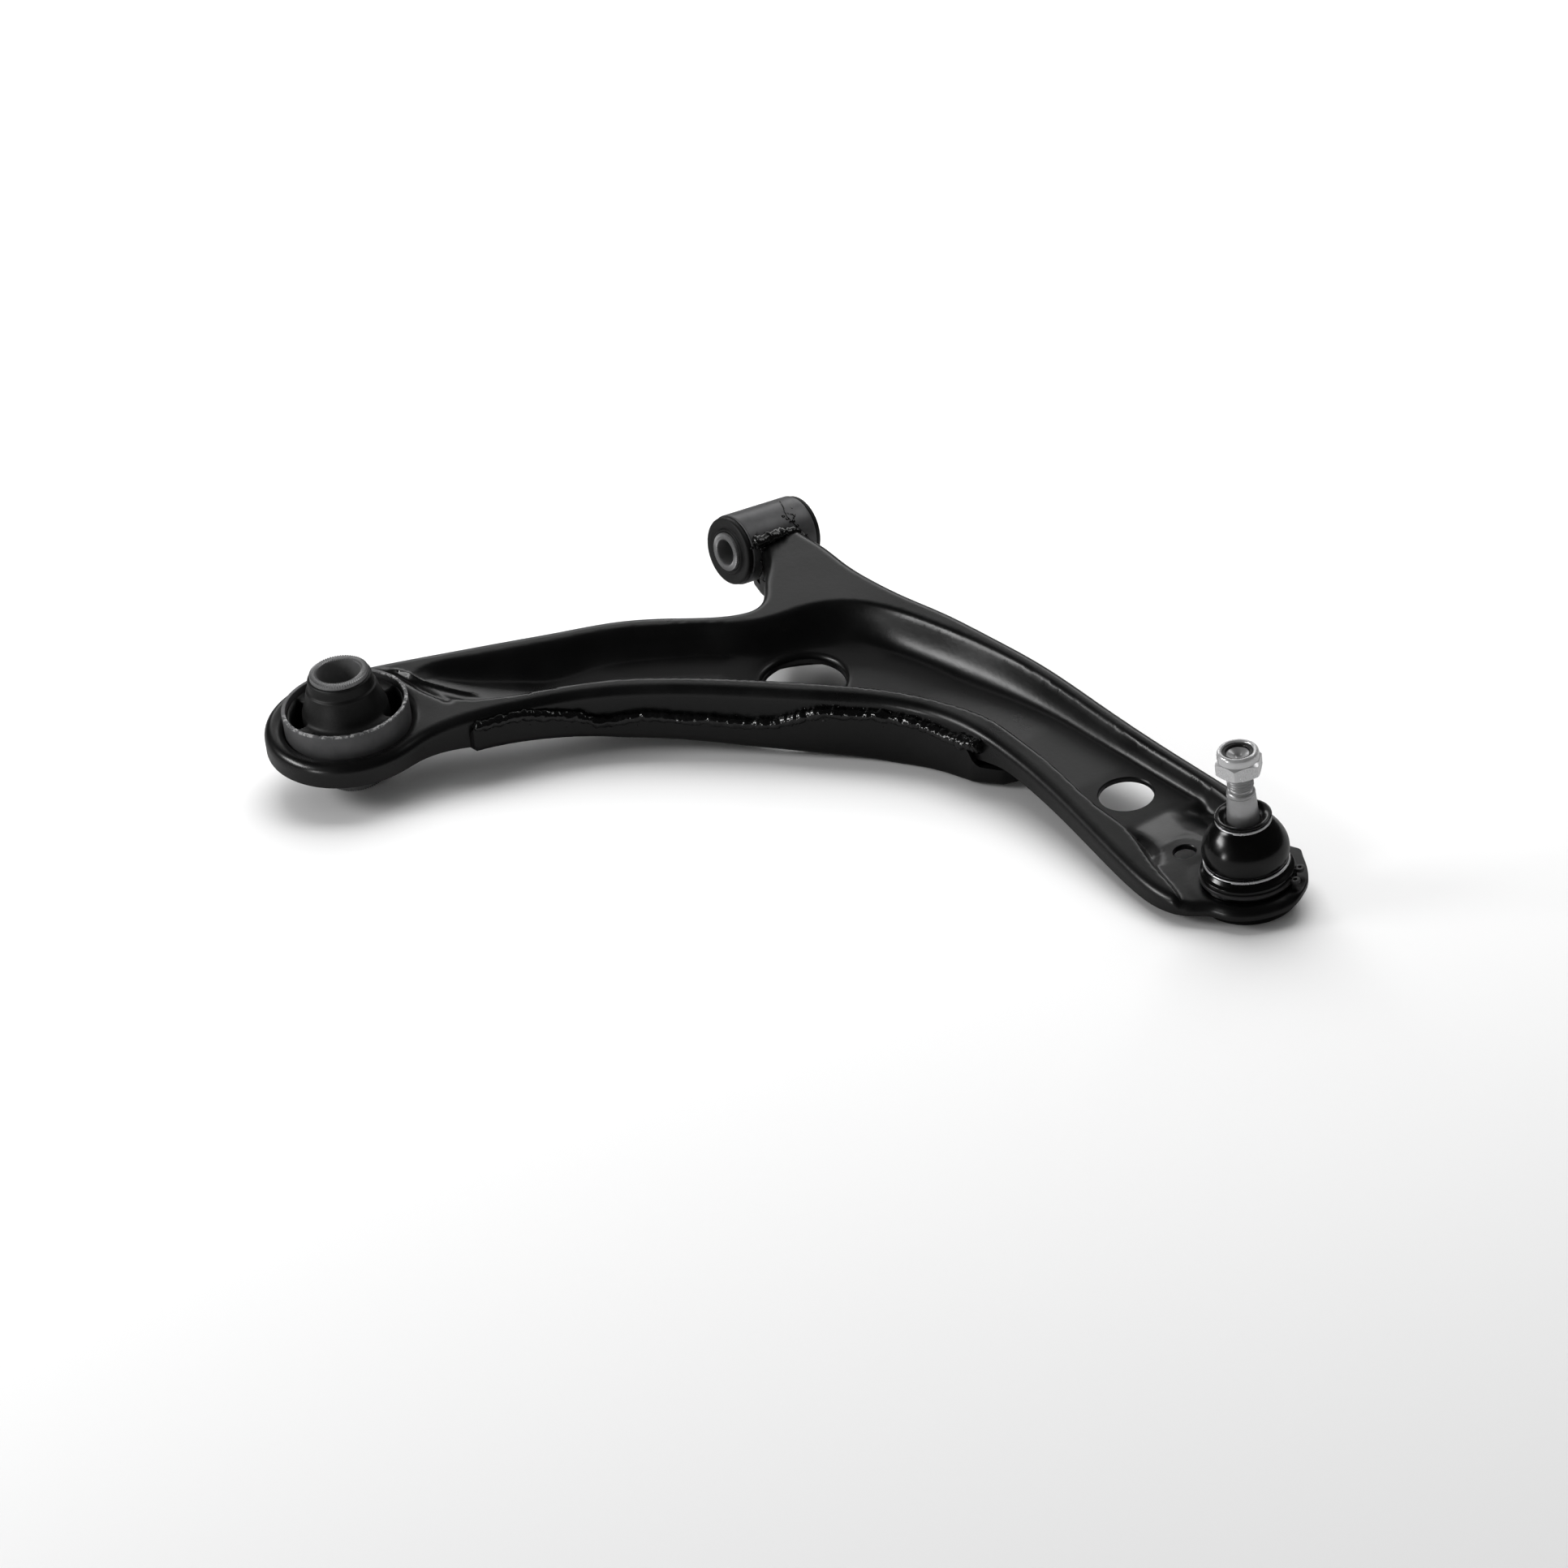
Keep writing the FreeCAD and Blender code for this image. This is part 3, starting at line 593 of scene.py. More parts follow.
def strip_rows(P, n, R, wb, beta, w_s, ring_dir=None):
    """Rows of the rolled edge from the interior loop to the bottom edge, outer side then inner side.
    beta 1 is a turned-down skirt, 0 a plain cut edge."""
    rows_o, rows_i = [], []
    NT, NV = 7, 5
    w0 = w_s + R * (1 - math.sin(THS))
    Rf = 0.5
    wf0 = w_s + Rf * (1 - math.sin(THS))
    for j in range(NT + 1):
        th = THS * (1 - j / NT)
        d_s = R * (1 - math.cos(th))
        w_sk = w0 - R * (1 - math.sin(th))
        ri = np.maximum(R - T, 0.25)
        di_s = np.maximum(R, T + 0.25) - ri * math.cos(th)
        wi_s = w0 - np.maximum(R, T + 0.25) + ri * math.sin(th)
        d_f = R * (1 - math.cos(THS)) * (1 - j / NT) + Rf * (1 - math.cos(th)) * (j / NT)
        w_f = wf0 - Rf * (1 - math.sin(th)) * np.ones_like(R)
        di_f = R * (1 - math.cos(THS)) * (1 - j / NT) + 0.45 * (j / NT)
        wi_f = wf0 - T * np.ones_like(R)
        rows_o.append((beta * d_s + (1 - beta) * d_f, beta * w_sk + (1 - beta) * w_f))
        rows_i.append((beta * di_s + (1 - beta) * di_f, beta * wi_s + (1 - beta) * wi_f))
    for j in range(1, NV + 1):
        k = j / NV
        w_sk = (w0 - R) * (1 - k) + wb * k
        wi_s = (w0 - np.maximum(R, T + 0.25)) * (1 - k) + wb * k
        w_f = (wf0 - Rf) * (1 - k) + (wf0 - T + 0.25) * k
        rows_o.append((np.zeros_like(R), beta * w_sk + (1 - beta) * w_f))
        rows_i.append((beta * T + (1 - beta) * (0.45 * (1 - k) + 0.22 * k), beta * wi_s + (1 - beta) * (wf0 - T)))
    mk = lambda d, w: np.column_stack([P - n * d[:, None], w])
    return [mk(*r) for r in rows_o], [mk(*r) for r in rows_i]


def build_sheet(W, edges, inside, grid, box, rows=(), clear=0.55):
    """W(points)->height. edges: dicts with P, n (unit, away from the sheet), R, wb, beta. Returns vertices, faces and normals in sheet coordinates."""
    loops = []
    for e in edges:
        e["loop"] = e["P"] - e["n"] * (e["R"] * (1 - math.cos(THS)))[:, None]
        loops.append(e["loop"])
    pts = [l for l in loops]
    fixed = np.vstack(pts + [r for r in rows])
    kd = kdtree.KDTree(len(fixed))
    for i, p in enumerate(fixed):
        kd.insert((p[0], p[1], 0), i)
    kd.balance()
    x0, y0, x1, y1 = box
    hx, hy = grid, grid * math.sqrt(3) / 2
    gx = []
    j = 0
    y = y0
    while y < y1:
        xs = np.arange(x0 + (hx / 2 if j % 2 else 0), x1, hx)
        gx.append(np.column_stack([xs, np.full(len(xs), y)]))
        y += hy
        j += 1
    G = np.vstack(gx)
    G = G[inside(G) > 0.3]
    keep = np.fromiter((kd.find((a, b, 0))[2] > clear * grid for a, b in G), bool, len(G))
    G = G[keep]
    rws = [r[inside(r) > 0.35] for r in rows]
    allp = np.vstack(pts + rws + [G])
    edg = []
    o = 0
    for l in loops:
        m = len(l)
        edg += [(o + i, o + (i + 1) % m) for i in range(m)]
        o += m
    res = delaunay_2d_cdt([Vector((float(a), float(b))) for a, b in allp], edg, [], 0, 1e-5, True)
    ov, faces, orig = res[0], res[2], res[3]
    mp = [q[0] if len(q) else -1 for q in orig]
    tri = [tuple(mp[i] for i in f) for f in faces]
    tri = [f for f in tri if min(f) >= 0 and len(set(f)) == 3]
    tri = np.array(tri)
    cen = allp[tri].mean(1)
    ok = inside(cen) > 0.02
    tri = tri[ok]
    a, b, c = allp[tri[:, 0]], allp[tri[:, 1]], allp[tri[:, 2]]
    area = (b[:, 0] - a[:, 0]) * (c[:, 1] - a[:, 1]) - (b[:, 1] - a[:, 1]) * (c[:, 0] - a[:, 0])
    flip = area < 0
    tri[flip] = tri[flip][:, ::-1]
    h = 0.25
    w = W(allp)
    wx = (W(allp + [h, 0]) - W(allp - [h, 0])) / (2 * h)
    wy = (W(allp + [0, h]) - W(allp - [0, h])) / (2 * h)
    nrm = np.column_stack([-wx, -wy, np.ones(len(w))])
    nrm /= np.linalg.norm(nrm, axis=1)[:, None]
    top = np.column_stack([allp, w])
    bot = top - nrm * T
    verts = [top]
    faces = [tuple(f) for f in tri]
    n_top = len(top)
    # outer sides of the edges
    o = 0
    cnt = n_top
    inner_first, meta = [], []
    for e in edges:
        m = len(e["P"])
        ids = np.arange(o, o + m)
        ro, ri = strip_rows(e["P"], e["n"], e["R"], e["wb"], e["beta"], w[ids])
        prev = ids
        orient = e.get("hole", False)
        for r in ro[1:]:
            if e.get("shear") is not None:
                r = e["shear"](r)
            verts.append(r)
            cur = np.arange(cnt, cnt + m)
            cnt += m
            for i in range(m):
                j = (i + 1) % m
                q = (prev[i], cur[i], cur[j], prev[j])
                faces.append(q if not orient else q[::-1])
            prev = cur
        meta.append((ids, prev, ri, orient, m, e))
        o += m
    # inner side
    bot_off = cnt
    bt = bot.copy()
    for ids, last, ri, orient, m, e in meta:
        bt[ids] = ri[0]
    verts.append(bt)
    cnt += len(bt)
    faces += [tuple(bot_off + i for i in f[::-1]) for f in tri]
    for ids, last, ri, orient, m, e in meta:
        prev = ids + bot_off
        for r in ri[1:]:
            if e.get("shear") is not None:
                r = e["shear"](r)
            verts.append(r)
            cur = np.arange(cnt, cnt + m)
            cnt += m
            for i in range(m):
                j = (i + 1) % m
                q = (prev[j], cur[j], cur[i], prev[i])
                faces.append(q if not orient else q[::-1])
            prev = cur
        for i in range(m):
            j = (i + 1) % m
            q = (last[i], prev[i], prev[j], last[j])
            faces.append(q if not orient else q[::-1])
    return np.vstack(verts), faces, n_top, nrm


def circle_edge(cx, cy, r, R, wb, beta, step=1.3, shear=None):
    m = max(36, int(2 * math.pi * r / step))
    a = -np.arange(m) * 2 * math.pi / m
    d = np.column_stack([np.cos(a), np.sin(a)])
    P = np.array([cx, cy]) + d * r
    f = lambda v: np.full(m, float(v))
    return {"P": P, "n": -d, "R": f(R), "wb": f(wb), "beta": f(beta), "shear": shear}


# ------------------------------------------------------------------ upper pressing
outer_c = [to_plate(*p) for p in OUTER]
pan_c = [(*to_plate(p[0], p[1]), p[2]) for p in PAN]
OUT_D = pspline(outer_c, 0.4)
PAN_D = pspline(pan_c, 0.4)
OUT_S, OUT_T, OUT_L = resample(OUT_D, 1.6)
OUT_N = normals2(OUT_S)
out_sdf = Outline(OUT_D)
pan_sdf = Outline(PAN_D)
ring_c = to_plate(0.0, REAR_Y)
ball_c = to_plate(BALL_X, 0.0, -2.0)
h1_c = to_plate(H1[0], H1[1], -16.0)
h2_c = to_plate(H2[0], H2[1], -8.5)
h3_c = to_plate(H3[0], H3[1], -2.5)


def along(x, y):
    """Nearest sample index on the even outline."""
    return int(np.argmin(((OUT_S - np.array(to_plate(x, y))) ** 2).sum(1)))


_phi = np.degrees(np.arctan2(OUT_S[:, 1] - ball_c[1], OUT_S[:, 0] - ball_c[0]))
TIP = np.where(OUT_S[:, 0] > 350, sstep(2, 26, _phi) * (1 - sstep(104, 126, _phi)), 0.0)
BETA_O = 1 - TIP
R_O = 4.85 * BETA_O + 0.6 * TIP
wb_u = np.interp(OUT_S[:, 0], [-50, 198, 226, 330, 352, 366, 374, 398, 460], [-18, -18, -11.0, -10.4, -9.4, -8.0, -6.6, -4.9, -4.0])
wb_v = np.interp(OUT_S[:, 1], [-330, -226, -206, -190, -150, 60], [-11.2, -11.2, -14.5, -18, -19.5, -19.5])
WB_O = np.where(OUT_S[:, 1] < -186, wb_v, np.maximum(wb_u, wb_v))
WB_O = np.where((OUT_S[:, 0] < 60) & (OUT_S[:, 1] > -60), -18.0, WB_O)
kk = np.hanning(15)[1:-1]
kk /= kk.sum()
WB_O = np.convolve(np.pad(WB_O, 6, mode="wrap"), kk, mode="valid")
IDX_D = np.round(np.arange(len(OUT_D)) * len(OUT_S) / len(OUT_D)).astype(int) % len(OUT_S)
_kd = kdtree.KDTree(len(OUT_S))
for _i, _p in enumerate(OUT_S):
    _kd.insert((_p[0], _p[1], 0), _i)
_kd.balance()
IDX_D = np.array([_kd.find((p[0], p[1], 0))[1] for p in OUT_D])

FLOOR_U = profile([(-120, -16.0), (150, -16.0), (215, -11.5), (262, -9.4), (303, -8.9), (325, -4.5), (345, -3.1), (372, -1.6), (460, 3.7)], 6)
FLOOR_V = profile([(-320, 12.0), (-203, 0.3), (-176, -7.0), (-140, -13.5), (-105, -16.0), (120, -16.0)], 26)


def seg_dist(Q, a, b):
    a, b = np.array(a, float), np.array(b, float)
    t = b - a
    k = np.clip(((Q - a) @ t) / (t @ t), 0, 1)
    d = Q - (a + k[:, None] * t)
    return np.hypot(d[:, 0], d[:, 1]), k


def poly_dist(Q, pts):
    best = np.full(len(Q), 1e9)
    pos = np.zeros(len(Q))
    side = np.zeros(len(Q))
    for i in range(len(pts) - 1):
        d, k = seg_dist(Q, pts[i], pts[i + 1])
        t = np.array(pts[i + 1]) - np.array(pts[i])
        q = Q - np.array(pts[i])
        s = np.sign(t[0] * q[:, 1] - t[1] * q[:, 0])
        m = d < best
        best = np.where(m, d, best)
        pos = np.where(m, i + k, pos)
        side = np.where(m, s, side)
    return best, pos, side


def soft_line(pts, k=6):
    """Catmull-Rom through the plan points, k pieces per span."""
    P = np.array(pts, float)
    out = []
    for i in range(len(P) - 1):
        p0, p1, p2, p3 = P[max(i - 1, 0)], P[i], P[i + 1], P[min(i + 2, len(P) - 1)]
        for t in np.arange(k) / k:
            out.append(0.5 * ((2 * p1) + (p2 - p0) * t + (2 * p0 - 5 * p1 + 4 * p2 - p3) * t * t + (3 * p1 - p0 - 3 * p2 + p3) * t ** 3))
    out.append(P[-1])
    return [tuple(p) for p in out]


RIDGE = [to_plate(*p) for p in [(-24.2, -205.4), (-15.4, -199.6), (-2.0, -193.8), (6.5, -188.6), (14.0, -182.6), (20.5, -175.5)]]
GROOVE = [to_plate(*p) for p in [(-18.5, -202.3), (-8.5, -199.8), (3.0, -197.6), (13.0, -195.0), (20.6, -193.4)]]


DIP = soft_line([to_plate(*p) for p in [(296.0, 12.5), (304.3, 8.0), (314.5, 4.9), (323.0, 3.4), (333.2, 4.6), (345.0, 8.0), (356.0, 12.0)]])
HOOK = soft_line([to_plate(*p) for p in [(298.0, -9.5), (306.0, -10.4), (313.0, -10.6), (319.0, -11.2), (325.0, -12.6), (331.5, -15.4), (339.0, -19.5)]])


def W_press(Q):
    u, v = Q[:, 0], Q[:, 1]
    do, io = out_sdf(Q)
    dp, ip = pan_sdf(Q)
    width = PAN_D[ip, 2]
    floor = smax(FLOOR_U(u), FLOOR_V(v), 2.0)
    r1 = np.hypot(u - h1_c[0], v - h1_c[1])
    floor = floor + 3.5 * sstep(23, 40, r1) * (1 - sstep(80, 115, u)) * sstep(-150, -115, v)
    # raised seat between two hollows that follow the rims
    d, pos, side = poly_dist(Q, DIP)
    pos = pos / 6
    ds = d * np.where(side > 0, 1, -1)
    ds = np.minimum(0.5 * (ds + np.sqrt(ds * ds + 2.0)), 13.0)
    floor = floor - 0.36 * ds * sstep(0.2, 1.8, pos) * (1 - sstep(3.6, 5.8, pos))
    d, pos, side = poly_dist(Q, HOOK)
    pos = pos / 6
    ds = d * np.where(side < 0, 1, -1)
    ds = np.minimum(0.5 * (ds + np.sqrt(ds * ds + 1.0)), 5.0)
    floor = floor - 0.80 * ds * sstep(0.2, 1.6, pos) * (1 - sstep(4.4, 6.0, pos))
    r3 = np.hypot(u - h3_c[0], v - h3_c[1])
    floor = floor + 0.35 * (1 - sstep(11.0, 12.0, r3)) * sstep(-7, 3, v - h3_c[1])
    wall = 1.5 - dp * 18.5 / width
    limb = sstep(170, 240, u)
    w = smax(wall, floor, 7.5 - 2.8 * limb)
    w = smin(w, np.zeros_like(w), 2.6 + 0.6 * limb)
    # pressed ridge and groove where the pan starts beside the ring
    d, pos, side = poly_dist(Q, RIDGE)
    f = sstep(-0.1, 1.2, pos) * (1 - sstep(4.2, 5.0, pos))
    w = w + f * 1.45 * np.exp(-(d / 1.0) ** 2)
    d2, pos2, side2 = poly_dist(Q, GROOVE)
    f2 = sstep(0.0, 1.5, pos2) * (1 - sstep(3.75, 4.0, pos2) * 0.6)
    w = w - f2 * 1.5 * np.exp(-(d2 / 1.9) ** 2)
    # flat seat of the ball joint, reaching the tip
    rb = np.hypot(u - ball_c[0], v - ball_c[1])
    k = np.maximum(1 - sstep(24.0, 28.5, rb), sstep(352, 362, u) * sstep(-20, -10, v))
    w = w * (1 - k) + PAD_W(u, v) * k
    # rolled rim
    R = R_O[IDX_D[io]]
    x = np.clip((R - do) / R, 0, 0.9999)
    w = w - R * (1 - np.sqrt(1 - x * x))
    # rear ring hole
    dh = np.hypot(u - ring_c[0], v - ring_c[1]) - 29.85
    x = np.clip((4.85 - dh) / 4.85, 0, 0.9999)
    return w - 4.85 * (1 - np.sqrt(1 - x * x))


def PAD_W(u, v):
    # height above the crest plane of the level pad z = PAD_Z
    z = PAD_Z - PZ
    # row z = RP[2]·(u, v, w) -> w
    return (z - RP[2, 0] * u - RP[2, 1] * v) / RP[2, 2]


zdir = RP.T @ np.array([0, 0, 1.0])


def ring_shear(r):
    """Collar of the ring runs along the row's z, not along the pressing's normal."""
    q = r.copy()
    dz = np.minimum(q[:, 2] + 4.0, 0)
    q[:, 0] += zdir[0] / zdir[2] * dz
    q[:, 1] += zdir[1] / zdir[2] * dz
    return q


edges = [{"P": OUT_S[:, :2], "n": OUT_N, "R": R_O, "wb": WB_O, "beta": BETA_O},
         circle_edge(*ring_c, 29.85, 4.85, -13.5, 1.0, 1.2, ring_shear),
         circle_edge(*h1_c, H1[2], 3.2, -20.6, 1.0, 1.2),
         circle_edge(*h2_c, H2[2], 0.6, -20, 0.0, 1.0),
         circle_edge(*h3_c, H3[2], 0.5, -20, 0.0, 0.7),
         circle_edge(*ball_c, HB_R + 0.1, 0.5, -20, 0.0, 1.2)]
HOLES = [(ring_c, 29.85 + 4.85 * (1 - math.cos(THS))), (h1_c, H1[2] + 3.2 * (1 - math.cos(THS))), (h2_c, H2[2] + 0.6 * (1 - math.cos(THS))),
         (h3_c, H3[2] + 0.5 * (1 - math.cos(THS))), (ball_c, HB_R + 0.1 + 0.5 * (1 - math.cos(THS)))]


def inside_press(Q):
    d, i = out_sdf(Q)
    r = d - (R_O * (1 - math.cos(THS)))[IDX_D[i]]
    for c, rad in HOLES:
        r = np.minimum(r, np.hypot(Q[:, 0] - c[0], Q[:, 1] - c[1]) - rad)
    return r


def W_full(Q):
    """Pressing height with the turned edge of the big hole."""
    w = W_press(Q)
    dh = np.hypot(Q[:, 0] - h1_c[0], Q[:, 1] - h1_c[1]) - H1[2]
    x = np.clip((3.2 - dh) / 3.2, 0, 0.9999)
    return w - 3.2 * (1 - np.sqrt(1 - x * x))


def curve_rows(P, dists, step):
    out = []
    for d in dists:
        Q = P[:, :2] - normals2(P) * (np.asarray(d)[:, None] if not np.isscalar(d) else d)
        Q, _, _ = resample(Q, step)
        out.append(Q)
    return out


PAN_R, _, _ = resample(PAN_D, 1.6)
rows = curve_rows(OUT_S, [4.7, 5.8, 7.0], 1.6)
rows += curve_rows(PAN_R, [0.4, 1.5, 2.6, 3.7, 4.8, 5.9, 7.0, 8.1, 9.2, 10.3, 11.4], 1.5)
rr = []
placed = None
# thin out rows that come too close to each other
kept = []
for r in rows:
    if kept:
        K = kdtree.KDTree(sum(len(q) for q in kept))
        i = 0
        for q in kept:
            for p in q:
                K.insert((p[0], p[1], 0), i)
                i += 1
        K.balance()
        r = r[np.fromiter((K.find((a, b, 0))[2] > 0.75 for a, b in r), bool, len(r))]
    if len(r):
        kept.append(r)
for (cx, cy), rad, ds in ((h1_c, H1[2] + 3.2, (0.3, 1.5, 3.0)), (h2_c, H2[2] + 0.6, (0.8, 2.0)), (h3_c, H3[2] + 0.5, (0.7, 1.6, 2.5, 3.4)), (ring_c, 29.85 + 4.85, (0.2, 1.6))):
    for d in ds:
        m = int(2 * math.pi * (rad + d) / 1.2)
        a = np.arange(m) * 2 * math.pi / m
        kept.append(np.column_stack([cx + (rad + d) * np.cos(a), cy + (rad + d) * np.sin(a)]))
for base_line in (RIDGE, GROOVE):
    for off in (-2.0, -1.0, 0.0, 1.0, 2.0):
        for i in range(len(base_line) - 1):
            a, b = np.array(base_line[i]), np.array(base_line[i + 1])
            L = np.linalg.norm(b - a)
            nn = np.array([b[1] - a[1], a[0] - b[0]]) / L
            m = max(2, int(L / 0.9))
            kept.append(a + (b - a) * (np.arange(m) / m)[:, None] + nn * off)
P3, F3, n_top, nrm = build_sheet(W_full, edges, inside_press, 1.4, (-45, -282, 405, 45), kept, 0.5)
row = to_row(P3)
# leave out what lies inside the front tube's wall
ax = FDIR
rel = row - np.outer(row @ ax, ax)
rad = np.linalg.norm(rel, axis=1)
inside_tube = (rad < 16.4) & (np.abs(row @ ax) < 22)
F3 = [f for f in F3 if not all(inside_tube[i] for i in f)]
used = np.zeros(len(row), bool)
for f in F3:
    used[list(f)] = True
remap = np.cumsum(used) - 1
row2 = row[used]
F3 = [tuple(remap[i] for i in f) for f in F3]
press = mesh_object("pressing_sheet", row2, F3, sharp=50)
piece(press, "arm", M_PAINT, ["upper_pressing"])
print("pressing", len(row2), len(F3))

# ------------------------------------------------------------------ lower closing plate
SEAM = [(38.4, -195, -4.0), (39.6, -190, -6.1), (46.9, -171.1, -5.1), (57.6, -148.4, -11.5), (63.2, -139.8, -16.6), (71.2, -129.3, -15.6), (76.9, -121.9, -14.5), (84.1, -112.5, -16.0),
        (101.9, -94.9, -17.4), (110.7, -86.5, -17.9), (120, -77.7, -16.6), (128.7, -70.7, -12.6), (138.2, -62.7, -8.9), (145, -57.1, -9.6), (156.8, -48.1, -8.2), (176.2, -36, -9.0),
        (192.1, -28, -10.8), (204.0, -25.6, -8.6), (210.0, -25.2, -7.0)]
OUT_LEN = np.concatenate([[0], np.cumsum(np.linalg.norm(np.diff(OUT_D[:, :2], axis=0), axis=1))])


def arc_of(x, y):
    q = np.array(to_plate(x, y))
    return OUT_LEN[int(np.argmin(((OUT_D[:, :2] - q) ** 2).sum(1)))]


seam_s = np.array([arc_of(p[0], p[1]) for p in SEAM])
seam_w = np.array([p[2] for p in SEAM])


def out_at(s, d=0.0):
    """Point on the outer skirt outline at arc length s, moved outwards by d."""
    P = np.column_stack([np.interp(s, OUT_LEN, OUT_D[:, 0]), np.interp(s, OUT_LEN, OUT_D[:, 1])])
    e = 0.6
    A = np.column_stack([np.interp(s - e, OUT_LEN, OUT_D[:, 0]), np.interp(s - e, OUT_LEN, OUT_D[:, 1])])
    B = np.column_stack([np.interp(s + e, OUT_LEN, OUT_D[:, 0]), np.interp(s + e, OUT_LEN, OUT_D[:, 1])])
    t = B - A
    t /= np.linalg.norm(t, axis=1)[:, None]
    n = np.column_stack([t[:, 1], -t[:, 0]])
    return P + n * d


s0, s1 = arc_of(38.4, -194.0), arc_of(204.0, -25.9)
near = out_at(np.linspace(s0, s1, 90), 3.0)
s2, s3 = arc_of(202.0, 31.5), arc_of(2.0, 10.2)
far = out_at(np.linspace(s2, s3, 70), -3.1)
s4, s5 = arc_of(6.0, -12.2), arc_of(-20.8, -184.0)
left = out_at(np.linspace(s4, s5, 90), -3.1)
corner = np.array([(211.5, -24.6), (217.5, -20.5), (220.5, -13.0), (221.0, 0.0), (219.5, 14.0), (213.0, 24.0)])
tube_end = np.array([(-4.5, 5.0), (-6.0, -1.0), (-2.5, -7.0)])
ringend = np.array([(-14.0, -189.0), (-4.0, -191.8), (12.0, -194.0), (26.0, -195.5), (33.5, -196.2)])
TR = np.vstack([near, corner, far, tube_end, left, ringend])
TRD, _, _ = resample(TR, 0.5)
for _k in range(3):
    TRD = (np.roll(TRD, 1, 0) + TRD * 2 + np.roll(TRD, -1, 0)) / 4
tray_sdf = Outline(TRD)
TRS, _, _ = resample(TRD, 1.8)
TRAY_U = profile([(-60, -18.6), (36, -18.8), (45, -20.0), (68, -27), (108, -31.3), (140, -33.6), (163, -34.5), (196, -31.7), (206, -29.5), (222, -26.5), (240, -22.0)], 10)
TRAY_V = profile([(-320, -18.8), (-150, -19.0), (-95, -29.0), (-55, -33.0), (-28, -36.5), (60, -37.5)], 14)


def W_tray(Q):
    a = -TRAY_U(Q[:, 0])
    b = -TRAY_V(Q[:, 1]) - 8.0 * sstep(60, 110, Q[:, 0])
    w = smax(a, b, 3.0)
    d, i = tray_sdf(Q)
    R = 4.2
    x = np.clip((R - d) / R, 0, 0.9999)
    return w - R * (1 - np.sqrt(1 - x * x))


# top edge of the tray wall, as distance below the crest plane
TRN = normals2(TRS)
kdo = np.array([int(np.argmin(((OUT_D[:, :2] - p) ** 2).sum(1))) for p in TRS])
arc = OUT_LEN[kdo]
is_near = (arc > s0 - 2) & (arc < s1 + 3) & (out_sdf(TRS)[0] < -0.5)
top_w = np.where(is_near, -np.interp(arc, seam_s, seam_w), 12.6)
top_w = np.where((TRS[:, 0] > 205) & (TRS[:, 1] < 24), 19.0, top_w)
top_w = np.where((TRS[:, 1] < -186) & ~is_near, 15.5, top_w)
top_w = np.convolve(np.pad(top_w, 2, mode="wrap"), [0.1, 0.2, 0.4, 0.2, 0.1], mode="valid")
mt = len(TRS)
SLOT_A, SLOT_B, SLOT_R = (h1_c[0] - 1.0, h1_c[1]), (h1_c[0] - 12.5, h1_c[1] + 8.0), 24.5


def slot_edge(step=1.6):
    a = -np.arange(720) * 2 * math.pi / 720
    ab = np.array([SLOT_A[0] - SLOT_B[0], SLOT_A[1] - SLOT_B[1]])
    d = np.column_stack([np.cos(a), np.sin(a)])
    c = np.where(((d @ ab) > 0)[:, None], np.array(SLOT_A), np.array(SLOT_B))
    P, _, _ = resample(c + d * SLOT_R, step)
    q, k = seg_dist(P, SLOT_B, SLOT_A)
    near_pt = np.array(SLOT_B) + k[:, None] * ab
    nn = near_pt - P
    nn /= np.linalg.norm(nn, axis=1)[:, None]
    f = lambda v: np.full(len(P), float(v))
    return {"P": P, "n": nn, "R": f(0.6), "wb": f(20), "beta": f(0.0), "shear": None}


t_edges = [{"P": TRS, "n": TRN, "R": np.full(mt, 4.2), "wb": top_w, "beta": np.ones(mt)}, slot_edge()]


def inside_tray(Q):
    d, i = tray_sdf(Q)
    return np.minimum(d - 4.2 * (1 - math.cos(THS)), seg_dist(Q, SLOT_B, SLOT_A)[0] - SLOT_R - 0.6 * (1 - math.cos(THS)))


P4, F4, nt4, nr4 = build_sheet(W_tray, t_edges, inside_tray, 2.6, (-30, -205, 230, 40), curve_rows(TRS, [4.6, 6.0], 2.0), 0.5)
P4 = P4 * [1, 1, -1]
F4 = [f[::-1] for f in F4]
row4 = to_row(P4)
rel = row4 - np.outer(row4 @ ax, ax)
rad4 = np.linalg.norm(rel, axis=1)
it = (rad4 < 16.9) & (np.abs(row4 @ ax) < 24)
F4 = [f for f in F4 if not any(it[i] for i in f)]
used = np.zeros(len(row4), bool)
for f in F4:
    used[list(f)] = True
remap = np.cumsum(used) - 1
plate = mesh_object("closing_plate_sheet", row4[used], [tuple(remap[i] for i in f) for f in F4], sharp=50)
piece(plate, "arm", M_PLATE, ["lower_closing_plate"])
print("plate", int(used.sum()), len(F4))

# ------------------------------------------------------------------ weld beads
def lumpy(V, amp, scale, seed):
    out = np.array(V, float)
    for i, p in enumerate(out):
        q = Vector((p[0] * scale + seed, p[1] * scale, p[2] * scale))
        nv = noise.noise_vector(q)
        out[i] += np.array(nv) * amp
    return out


